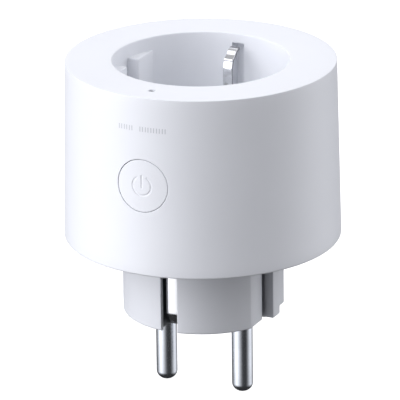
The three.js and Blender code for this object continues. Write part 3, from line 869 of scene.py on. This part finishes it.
def refined(node, name, mat, edge=0.12, seg=2):
    """The node's own shape with its outer edges rounded off."""
    bm = bmesh.new()
    bm.from_mesh(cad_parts[node].data)
    bmesh.ops.remove_doubles(bm, verts=bm.verts, dist=1e-6)
    bmesh.ops.dissolve_limit(bm, angle_limit=math.radians(1), verts=bm.verts, edges=bm.edges, delimit=set())
    sharp = [e for e in bm.edges if len(e.link_faces) == 2 and e.is_convex and e.calc_face_angle(0) > 0.7]
    bmesh.ops.bevel(bm, geom=sharp, offset=edge * MM, segments=seg, profile=0.5, affect="EDGES", clamp_overlap=True)
    bmesh.ops.remove_doubles(bm, verts=bm.verts, dist=2e-7)
    bmesh.ops.dissolve_degenerate(bm, edges=bm.edges, dist=2e-7)
    open_edges = sum(len(e.link_faces) != 2 for e in bm.edges)
    me = bpy.data.meshes.new(name)
    if open_edges:
        bm.free()
        bm = bmesh.new()
        bm.from_mesh(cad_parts[node].data)
    bm.to_mesh(me)
    bm.free()
    me.materials.clear()
    me.materials.append(MATS[mat])
    for f in me.polygons:
        f.material_index = 0
    ob = bpy.data.objects.new(name, me)
    scene.collection.objects.link(ob)
    return shade(ob, 40, False)


def tube(name, points, r, seg=12, mat=None):
    """A round wire along a line of points, with domed ends."""
    pts = [Vector(p) for p in points]
    n = len(pts)
    tangents = [(pts[min(i + 1, n - 1)] - pts[max(i - 1, 0)]).normalized() for i in range(n)]
    side = tangents[0].orthogonal().normalized()
    verts = []
    for i, (p, t) in enumerate(zip(pts, tangents)):
        side = (side - t * side.dot(t)).normalized()
        up = t.cross(side)
        shift, k = (t * (-0.5 * r), 0.55) if i == 0 else (t * (0.5 * r), 0.55) if i == n - 1 else (Vector(), 1.0)
        for j in range(seg):
            a = 2 * math.pi * j / seg
            verts.append(tuple(p + shift + (side * math.cos(a) + up * math.sin(a)) * r * k))
    faces = [tuple(range(seg - 1, -1, -1))]
    for i in range(n - 1):
        for j in range(seg):
            k = (j + 1) % seg
            faces.append((i * seg + j, i * seg + k, (i + 1) * seg + k, (i + 1) * seg + j))
    faces.append(tuple(range((n - 1) * seg, n * seg)))
    return outward(new_object(name, verts, faces, mat))


def turns(r_core, r_wire, z0, z1):
    """The outline of a coil's turns."""
    n = max(1, round((z1 - z0) / (2 * r_wire)))
    h = (z1 - z0) / n
    out = []
    for i in range(n):
        zc = z0 + h * (i + 0.5)
        out += [(r_core + r_wire * math.sin(math.pi * k / 6), zc - h / 2 * math.cos(math.pi * k / 6)) for k in range(7)]
    return out


def lying(ob, x, y, z, axis):
    """Turn a body from the Z axis to lie along X or Y, and set it at a point."""
    rot = Matrix.Rotation(math.radians(90), 4, "Y") if axis == "x" else Matrix.Rotation(math.radians(-90), 4, "X")
    return turned(ob, Matrix.Translation(Vector((x, y, z)) * MM) @ rot)


# screws
def make_screw(name, x, y):
    prof = corner([(0, 18.5), (2.35, 18.5), (2.35, 19.7), (1.25, 19.7)], [0, 0.4, 0.1, 0.1], 5)
    z = 20.0
    while z < 29.6:
        prof += [(1.02, z + 0.05), (1.27, z + 0.32), (1.27, z + 0.42), (1.02, z + 0.7)]
        z += 0.8
    prof += [(0.9, 30.1), (0.3, 30.9), (0, 31.1)]
    ob = revolve(name, prof, 40, "steel", x=x, y=y)
    for a, b in ((1.45, 0.3), (0.3, 1.45)):
        boolean(ob, block("recess", x - a, x + a, y - b, y + b, 18, 19.25, edge=0.08))
    return shade(ob, 35)


for i in range(4):
    a = math.radians(45 + 90 * i)
    fitted(f"housing_screw_{i + 1}", make_screw(f"housing_screw_{i + 1}_threaded", SCREW_R * math.cos(a), SCREW_R * math.sin(a)))

# shutter: screw, spring and the moulded rotor
coil = [(2.15 * math.cos(t * 2 * math.pi * 2.1), 2.15 * math.sin(t * 2 * math.pi * 2.1), 36.18 + 0.92 * t) for t in [k / 110 for k in range(111)]]
fitted("shutter_spring", shade(tube("shutter_spring_wound", coil, 0.18, 12, "steel"), 50, False))
fitted("shutter_screw", refined("shutter_screw", "shutter_screw_turned", "steel", 0.08))
fitted("safety_shutter", refined("safety_shutter", "safety_shutter_moulded", "cream", 0.12), "shutter")

# contacts and bars
fitted("live_contact", refined("live_contact", "live_contact_formed", "brass", 0.14))
fitted("neutral_contact", refined("neutral_contact", "neutral_contact_formed", "brass", 0.14))
fitted("live_busbar", refined("live_busbar", "live_busbar_stamped", "copper", 0.12))
bar = refined("neutral_busbar", "neutral_busbar_stamped", "copper", 0.12)
for y in (-0.9, 6.5):
    boolean(bar, rod("rivet_hole", 0.5, 21, 24, 28, x=-14.8, y=y))
boolean(bar, block("bead", -15.2, -14.4, 0.6, 5.0, 22.6, 24, edge=0.18))
fitted("neutral_busbar", shade(bar, 40))
strap = refined("earth_cross_strap", "earth_cross_strap_stamped", "sheet", 0.12)
for sy in (1, -1):
    boolean(strap, rod("rivet_hole", 0.75, 32, 35, 32, y=sy * 13.2))
    y0, y1 = sorted((sy * 4.2, sy * 11.2))
    boolean(strap, block("bead", -0.55, 0.55, y0, y1, 33.58, 35, edge=0.2))
    for sx in (1, -1):
        boolean(strap, rod("waist", 0.7, 32, 35, 32, x=sx * 2.2, y=sy * 2.4))
fitted("earth_cross_strap", shade(strap, 40))
fitted("pin_carrier", refined("pin_carrier", "pin_carrier_moulded", "cream", 0.15))
fitted("shunt_resistor", refined("shunt_resistor", "shunt_resistor_bent", "manganin", 0.15))


# the main board, with its tracks and soldered joints
def make_main_board():
    top = rod("main_board", 28.1, PCB_Z0, PCB_Z1, 160, edge=0.12)
    for i in range(4):
        a = math.radians(45 + 90 * i)
        boolean(top, rod("hole", 4.2, 19, 23, 48, x=SCREW_R * math.cos(a), y=SCREW_R * math.sin(a)))
    for s in (1, -1):
        boolean(top, rod("hole", 1.8, 19, 23, 40, x=s * PIN_X))
        y0, y1 = sorted((s * 14.9, s * 16.7))
        boolean(top, block("slot", -2.1, 2.1, y0, y1, 19, 23, edge=0.2))
    parts = [(top, "board")]
    joints = [(-22.8, -9.2), (-12.6, -9.2), (-20.8, 9.7), (-16, 9.7), (12, -14.2), (15.2, -7.5), (-8.6, -21.4), (-5.4, -18),
              (4, -20.8), (11, -20.8), (-7.5, 19), (7.5, 19), (-7.5, 24.5), (7.5, 24.5), (4.2, 21.8), (-3.5, 9.9), (3.5, 9.9),
              (-25, -4.2), (-25, 4.2), (-19, -4.2), (-19, 4.2), (-5, -24.4), (5, -24.4), (0, -24.4), (21.4, -6), (21.4, -2), (21.4, 2), (21.4, 6)]
    for x, y in joints:
        dome = [(0, PCB_Z0 - 0.24), (0.22, PCB_Z0 - 0.23), (0.42, PCB_Z0 - 0.17), (0.62, PCB_Z0 - 0.08), (0.82, PCB_Z0 - 0.02), (0.85, PCB_Z0 + 0.05), (0, PCB_Z0 + 0.05)]
        parts.append((revolve("joint", dome, 20, x=x, y=y), "sheet"))
    tracks = [((-22.8, -9.2), (-24.4, -11.6)), ((-12.6, -9.2), (-9, -9.2)), ((9, -10), (10.6, -10)), ((14, -5), (14, 5), (18, 9)),
              ((-12, 9.7), (-6, 9.7)), ((-15, -3), (-15, -12)), ((20, -9), (17, -12.2)), ((-4, -10), (3, -10)), ((5, -24), (5, -25.5)),
              ((19, 10), (12, 17)), ((-24, 8), (-22, 13)), ((0, -5), (0, -13)), ((3, 6), (3, 12))]
    for path in tracks:
        for (xa, ya), (xb, yb) in zip(path, path[1:]):
            d = Vector((xb - xa, yb - ya))
            # each track is a hair higher than the last, so that they cross cleanly
            strip_ = block("track", -0.3, d.length + 0.3, -0.3, 0.3, PCB_Z1 - 0.03, PCB_Z1 + 0.03 + 0.003 * (len(parts) % 24), edge=0.02, seg=1)
            turned(strip_, Matrix.Translation(Vector((xa, ya, 0)) * MM) @ Matrix.Rotation(math.atan2(d.y, d.x), 4, "Z"))
            parts.append((strip_, "track"))
    return assembled("main_board_assembled", parts)


fitted("main_pcb", make_main_board())


def make_button_board():
    parts = [(block("button_board", -6.5, 6.5, -24.8, -24.0, 21.6, 48.2, edge=0.1), "board")]
    for x in (-5, -3, 3, 5):
        parts.append((block("track", x - 0.2, x + 0.2, -24.83, -24.7, 22.4, 35.4 if abs(x) < 4 else 44.5, edge=0.015, seg=1), "track"))
    for x, z in ((-3.3, 36.8), (3.3, 36.8), (-3.3, 40.6), (3.3, 40.6), (-1.5, 47.7), (1.5, 47.7)):
        parts.append((block("pad", x - 0.6, x + 0.6, -24.95, -24.75, z - 0.35, z + 0.35, edge=0.08), "sheet"))
    for k in range(3):
        parts.append((block("chip", -4.6 + 3.6 * k, -2.9 + 3.6 * k, -25.3, -24.75, 29.5, 30.4, edge=0.08), "ferrite"))
    return assembled("button_board_assembled", parts)


fitted("button_pcb", make_button_board())


def make_switch():
    body = block("switch_case", -2.6, 2.6, -25.7, -24.85, BTN_Z - 2.6, BTN_Z + 2.6, edge=0.15)
    boolean(body, lying(rod("bore", 1.1, -3, 3, 40), 0, -25.4, BTN_Z, "y"))
    parts = [(body, "black")]
    for sx in (1, -1):
        for sz in (1, -1):
            parts.append((lying(rod("rivet", 0.32, -0.1, 0.1, 20, edge=0.05), sx * 1.95, -25.7, BTN_Z + sz * 1.95, "y"), "steel"))
    return assembled("switch_case_assembled", parts)


fitted("tact_switch_body", make_switch())
fitted("tact_switch_plunger", shade(lying(rod("switch_plunger_turned", 0.98, -0.45, 0.45, 48, "black", edge=0.15), 0, -25.8, BTN_Z, "y"), 35), "switch_plunger")
led = [(block("led_case", -1, 1, -25.3, -24.85, 46.9, 48.5, edge=0.06), "socket"), (block("led_lens", -0.75, 0.75, -25.65, -25.2, 47.1, 48.3, edge=0.15), "led")]
fitted("status_led", assembled("status_led_assembled", led))


# relay
def make_relay():
    base = block("relay_base_moulded", -9.4, 9.4, 17.6, 26.0, 21.5, 22.9, "relay", edge=0.25)
    boolean(base, block("hollow", -8.4, 8.4, 18.6, 25.0, 21.0, 21.85, edge=0.3))
    for x in (-7.5, 0, 7.5):
        for y in (17.6, 26.0):
            boolean(base, block("notch", x - 0.6, x + 0.6, y - 0.35, y + 0.35, 21.0, 22.3, edge=0.12))
    fitted("relay_base", shade(base, 35))
    cover = block("relay_cover_moulded", -9.4, 9.4, 17.6, 26.0, 23.0, 37.6, "relay", edge=0.45, seg=4)
    boolean(cover, block("room", -8.5, 8.5, 18.5, 25.1, 20, 36.7, edge=0.3))
    boolean(cover, rod("vent", 0.5, 36, 38, 24, x=7.4, y=24.2))
    fitted("relay_cover", shade(cover, 35))
    prof = corner([(0, 24.3), (3.0, 24.3), (3.0, 24.9), (2.35, 24.9)], [0, 0.12, 0.12, 0], 3)
    prof += turns(2.38, 0.14, 25.0, 33.1)
    prof += corner([(2.35, 33.2), (3.0, 33.2), (3.0, 33.8), (1.3, 33.8), (1.3, 34.3), (0, 34.3)], [0, 0.12, 0.12, 0.05, 0.1, 0], 3)
    coil_ob = revolve("relay_coil_wound", prof, 48, "wire", x=-3.6, y=21.8)
    coil_ob.data.materials.append(MATS["black"])
    coil_ob.data.materials.append(MATS["steel"])
    for f in coil_ob.data.polygons:
        z = f.center.z / MM
        f.material_index = 2 if z > 33.85 else 1 if z < 24.97 or z > 33.12 else 0
    fitted("relay_coil", shade(coil_ob, 25))
    fitted("relay_yoke", refined("relay_yoke", "relay_yoke_bent", "steel", 0.15))
    arm = [(block("relay_arm", -6.4, 1.3, 19.6, 24.0, 35.0, 35.7, edge=0.15), "steel"), (rod("rivet", 0.45, 35.6, 35.85, 24, x=-0.6, y=21.8, edge=0.08), "copper")]
    fitted("relay_armature", assembled("relay_armature_stamped", arm), "armature")
    moving = [(block("leaf", 1.6, 1.95, 20.2, 23.4, 27.0, 35.6, edge=0.1), "copper"), (lying(rod("tip", 0.9, -0.36, 0.36, 36, edge=0.2), 2.24, 21.8, 28.2, "x"), "sheet")]
    fitted("relay_moving_contact", assembled("relay_moving_contact_riveted", moving))
    fixed = [(block("post", 3.9, 4.5, 20.2, 23.4, 23.1, 30.4, edge=0.1), "copper"), (lying(rod("tip", 0.9, -0.36, 0.36, 36, edge=0.2), 3.61, 21.8, 28.2, "x"), "sheet")]
    fitted("relay_fixed_contact", assembled("relay_fixed_contact_riveted", fixed))


make_relay()


# radio module
def make_module():
    parts = [(block("module_board", 21.0, 21.8, -9, 9, 21.6, 37.4, edge=0.08), "board_blue")]
    for k in range(8):
        y = -7 + 2 * k
        parts.append((block("pad", 20.93, 21.87, y - 0.45, y + 0.45, 21.7, 22.7, edge=0.04, seg=1), "track_gold"))
    y = -6.6
    for k in range(6):
        parts.append((block("aerial", 20.95, 21.1, y, y + 0.4, 36.0 if k % 2 else 36.0, 37.1, edge=0.02, seg=1), "track_gold"))
        y += 2.2
    for k in range(5):
        ya = -6.6 + 2.2 * k
        z = 36.9 if k % 2 == 0 else 36.0
        parts.append((block("aerial", 20.95, 21.1, ya, ya + 2.6, z, z + 0.25, edge=0.02, seg=1), "track_gold"))
    fitted("wifi_module", assembled("radio_module_assembled", parts))
    can = block("shield", 18.9, 20.9, -6.6, 6.6, 24.5, 36.4, "steel", edge=0.35, seg=4)
    boolean(can, block("room", 19.15, 23, -6.35, 6.35, 24.75, 36.15, edge=0.2))
    boolean(can, block("cut", 20.9, 23, -9, 9, 22, 39))
    fitted("module_shield_can", shade(can, 35))


make_module()


# supply
def make_supply():
    fitted("transformer_core", refined("transformer_core", "transformer_core_pressed", "ferrite", 0.2))
    wind = block("winding", -27.2, -16.8, -3.7, 3.7, 24.3, 30.5, edge=0.7, seg=4)
    boolean(wind, block("room", -26.5, -17.3, -1.75, 1.75, 23, 32, edge=0.2))
    wraps = [(wind, "tape")]
    for z in (25.2, 27.2, 29.2):
        ring = block("wrap", -27.23, -16.77, -3.73, 3.73, z - 0.12, z + 0.12, edge=0.06, seg=1)
        boolean(ring, block("room", -26.9, -17.1, -3.4, 3.4, z - 1, z + 1))
        wraps.append((ring, "cream"))
    fitted("transformer_winding", assembled("transformer_winding_taped", wraps))
    prof = corner([(0, 21.6), (3.6, 21.6), (3.8, 21.8), (3.8, 22.6), (3.55, 22.9), (3.8, 23.2), (3.8, 30.4), (3.5, 30.75), (3.2, 30.75), (3.1, 30.6), (0, 30.6)],
                  [0, 0.1, 0.1, 0.15, 0.15, 0.15, 0.25, 0.15, 0.08, 0.05, 0], 4)
    can = revolve("capacitor", prof, 72, "sleeve", x=-7, y=-19.7)
    for a, b in ((2.2, 0.12), (0.12, 2.2)):
        boolean(can, block("score", -7 - a, -7 + a, -19.7 - b, -19.7 + b, 30.45, 31, edge=0.04))
    can.data.materials.append(MATS["steel"])
    for f in can.data.polygons:
        if f.center.z / MM > 30.3 and math.hypot(f.center.x / MM + 7, f.center.y / MM + 19.7) < 3.12:
            f.material_index = 1
    fitted("bulk_capacitor", shade(can, 30))
    box_ = [(block("film_case", 2.6, 12.4, -23.4, -18.2, 21.9, 30.4, edge=0.5, seg=4), "film")]
    box_ += [(tube("lead", [(x, -20.8, 20.6), (x, -20.8, 22.2)], 0.3, 12), "steel") for x in (4, 11)]
    box_ += [(block("foot", x - 0.6, x + 0.6, -23.3, -18.3, 21.6, 22.3, edge=0.1), "film") for x in (3.3, 11.7)]
    fitted("x_capacitor", assembled("film_capacitor_moulded", box_))
    lens = [(0, -1.5), (2.6, -1.45), (3.9, -1.2), (4.5, -0.75), (4.7, -0.1), (4.6, 0.5), (4.1, 1.1), (2.9, 1.42), (0, 1.5)]
    disc = lying(revolve("disc", [(p.x, p.y) for p in smooth_line(lens, 4)][:-1] + [(0, 1.5)], 64), -18.4, 9.7, 28.2, "y")
    mov = [(disc, "mov")]
    for x, side in ((-20.8, -1), (-16.0, 1)):
        mov.append((tube("lead", [(x, 9.7, 20.6), (x, 9.7, 23.2), (x + side * 0.1, 9.7, 24.2), (x - side * 0.3, 9.7, 25.6)], 0.3, 12), "steel"))
    fitted("varistor", assembled("varistor_dipped", mov))
    bone = corner([(0, -4.3), (1.75, -4.3), (1.9, -3.9), (1.9, -2.9), (1.6, -2.4), (1.6, 2.4), (1.9, 2.9), (1.9, 3.9), (1.75, 4.3), (0, 4.3)], [0, 0.4, 0.3, 0.5, 0.5, 0.5, 0.5, 0.3, 0.4, 0], 4)
    res = [(lying(revolve("bone", bone, 48), -17.7, -9.2, 24.4, "x"), "resistor")]
    for k, m in enumerate(("brass", "black", "copper")):
        band = [(1.4, -0.28), (1.63, -0.28), (1.63, 0.28), (1.4, 0.28)]
        res.append((lying(revolve("band", band, 48, loop=True), -18.9 + 1.2 * k, -9.2, 24.4, "x"), m))
    for x0, x1 in ((-21.9, -22.8), (-13.5, -12.6)):
        res.append((tube("lead", [(x0, -9.2, 24.4), ((x0 + x1) / 2, -9.2, 24.4), (x1 - 0.15 * (x1 - x0), -9.2, 24.25), (x1, -9.2, 23.7), (x1, -9.2, 20.7)], 0.28, 12), "steel"))
    fitted("fuse_resistor", assembled("fuse_resistor_coated", res))
    prof = corner([(0, 21.6), (3.4, 21.6), (3.4, 22.6), (2.5, 22.7)], [0, 0.2, 0.15, 0], 4)
    prof += turns(2.52, 0.2, 22.8, 27.4)
    prof += corner([(2.5, 27.5), (3.4, 27.6), (3.4, 28.6), (0.8, 28.6), (0.8, 27.9), (0, 27.9)], [0, 0.15, 0.2, 0.1, 0.1, 0], 4)
    choke = revolve("inductor_wound", prof, 60, "wire", x=13.6, y=-10.8)
    choke.data.materials.append(MATS["ferrite"])
    for f in choke.data.polygons:
        z = f.center.z / MM
        f.material_index = 1 if z < 22.75 or z > 27.45 else 0
    fitted("inductor", shade(choke, 25))


make_supply()


def make_chip(name, x0, x1, y0, y1, z0, z1, legs, mark=0.35):
    """A moulded chip with bent legs on two sides and a round dimple by its first leg."""
    body = block("chip", x0, x1, y0, y1, z0 + 0.1, z1, edge=0.15)
    boolean(body, rod("dimple", mark, z1 - 0.12, z1 + 1, 24, x=x0 + 0.9, y=y1 - 0.9))
    parts = [(body, "black")]
    for k in range(legs):
        x = x0 + (x1 - x0) * (k + 0.5) / legs
        for s, y in ((-1, y0), (1, y1)):
            line = [Vector((y - s * 0.3, z0 + 0.75)), Vector((y + s * 0.25, z0 + 0.72)), Vector((y + s * 0.45, z0 + 0.4)), Vector((y + s * 0.6, z0 + 0.1)), Vector((y + s * 1.05, z0 + 0.06))]
            leg = sheet_strip("leg", line, 0.12, 0.19, "sheet", r=0.03, end_r=0.05)
            turned(leg, Matrix.Translation(Vector((x, 0, 0)) * MM))
            parts.append((leg, "sheet"))
    return assembled(name, parts)


fitted("metering_chip", make_chip("metering_chip_moulded", 3.6, 8.6, -12.8, -7.8, 21.5, 23.1, 7))
fitted("bridge_rectifier", make_chip("bridge_rectifier_moulded", -8.6, -3.9, -12.6, -8.6, 21.5, 23.3, 2))


# ---------------------------------------------------------------- carried-over nodes get worked materials
NODE_MATS = {
    "housing_screw_1": "steel", "housing_screw_2": "steel", "housing_screw_3": "steel", "housing_screw_4": "steel",
    "pin_carrier": "cream", "earth_cross_strap": "sheet", "safety_shutter": "cream", "shutter_screw": "steel",
    "shutter_spring": "steel", "live_contact": "brass", "neutral_contact": "brass", "live_busbar": "copper",
    "neutral_busbar": "copper", "main_pcb": "board", "button_pcb": "board", "tact_switch_body": "black",
    "tact_switch_plunger": "black", "status_led": "led", "relay_base": "relay", "relay_cover": "relay",
    "relay_coil": "wire", "relay_yoke": "steel", "relay_armature": "steel", "relay_moving_contact": "copper",
    "relay_fixed_contact": "copper", "wifi_module": "board_blue", "module_shield_can": "steel",
    "transformer_core": "ferrite", "transformer_winding": "tape", "bulk_capacitor": "sleeve", "x_capacitor": "film",
    "varistor": "mov", "fuse_resistor": "resistor", "inductor": "wire", "bridge_rectifier": "black",
    "metering_chip": "black", "shunt_resistor": "manganin",
}
for node, mat in NODE_MATS.items():
    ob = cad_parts[node]
    if not ob.data.materials:
        ob.data.materials.append(None)
    for s in ob.material_slots:
        s.material = MATS[mat]

# ---------------------------------------------------------------- floor and lights
def make_floor_plane():
    ob = new_object("floor", [(-6000, -6000, -19.02), (6000, -6000, -19.02), (6000, 6000, -19.02), (-6000, 6000, -19.02)], [(0, 1, 2, 3)])
    k = Mat("floor_white")
    k.link(k.ramp(k.noise(3, 2), [(0.3, (0.5, 0.5, 0.5)), (0.7, (0.52, 0.52, 0.52))]), k.b.inputs["Base Color"])
    k.set(Roughness=0.9)
    k.b.inputs["Specular IOR Level"].default_value = 0.0
    k.b.inputs["Emission Color"].default_value = (1, 1, 1, 1)
    k.b.inputs["Emission Strength"].default_value = 0.9
    ob.data.materials.append(k.m)
    # the pale floor is seen, and the studio round the object lights it
    ob.visible_diffuse = False
    ob.visible_glossy = False


make_floor_plane()


def make_studio():
    """A plain studio: a large soft light on the left, a smaller one on the right, and a weak fill from above."""
    w = bpy.data.worlds.new("studio")
    w.use_nodes = True
    t = w.node_tree
    bg = t.nodes["Background"]
    co = t.nodes.new("ShaderNodeTexCoord")
    a = math.radians(25.52)

    def math_node(op, x, y=None):
        n = t.nodes.new("ShaderNodeMath")
        n.operation = op
        for i, v in enumerate((x, y)):
            if v is None:
                continue
            if isinstance(v, (int, float)):
                n.inputs[i].default_value = v
            else:
                t.links.new(v, n.inputs[i])
        return n.outputs[0]

    def dot(v):
        n = t.nodes.new("ShaderNodeVectorMath")
        n.operation = "DOT_PRODUCT"
        t.links.new(co.outputs["Generated"], n.inputs[0])
        n.inputs[1].default_value = v
        return n.outputs["Value"]

    def ramp(fac, stops):
        n = t.nodes.new("ShaderNodeValToRGB")
        e = n.color_ramp.elements
        while len(e) < len(stops):
            e.new(0.5)
        for el, (at, v) in zip(e, stops):
            el.position = at
            el.color = (v, v, v, 1)
        t.links.new(fac, n.inputs["Fac"])
        return n.outputs["Color"]

    side = dot((math.cos(a), math.sin(a), 0))
    front = dot((math.sin(a), -math.cos(a), 0))
    turn = math_node("ADD", math_node("DIVIDE", math_node("ARCTAN2", side, front), 2 * math.pi), 0.5)
    level = math_node("ADD", math_node("MULTIPLY", dot((0, 0, 1)), 0.5), 0.5)
    ring = ramp(turn, [(k / 16, v) for k, v in enumerate(AROUND + AROUND[:1])])
    height = ramp(level, [((u + 1) / 2, v) for u, v in HEIGHT])
    fill = ramp(level, [((u + 1) / 2, v) for u, v in FILL])
    tone = math_node("ADD", math_node("MULTIPLY", ring, height), fill)
    tint = t.nodes.new("ShaderNodeVectorMath")
    tint.operation = "SCALE"
    tint.inputs[0].default_value = TINT
    t.links.new(tone, tint.inputs["Scale"])
    t.links.new(tint.outputs[0], bg.inputs["Color"])
    bg.inputs["Strength"].default_value = STRENGTH
    scene.world = w


# the lights' tones round the object, in steps of 22.5 degrees from straight behind it by way of the left,
# and by height, the sine of the elevation
STRENGTH = 3.68
TINT = (0.99, 1.0, 1.045)
AROUND = [0.3, 0.11, 0.05, 0.17, 0.63, 1.0, 0.68, 0.26, 0.01, 0.0, 0.0, 0.23, 0.59, 0.56, 0.15, 0.06]
HEIGHT = [(-1.0, 0.0), (-0.71, 0.0), (-0.34, 0.57), (0.0, 0.91), (0.34, 1.0), (0.71, 1.0), (1.0, 0.0)]
FILL = [(-1.0, 0.01), (-0.71, 0.01), (-0.34, 0.017), (0.0, 0.0), (0.34, 0.0), (0.71, 0.086), (1.0, 0.139)]
make_studio()
scene.view_settings.view_transform = "Standard"
scene.view_settings.look = "None"
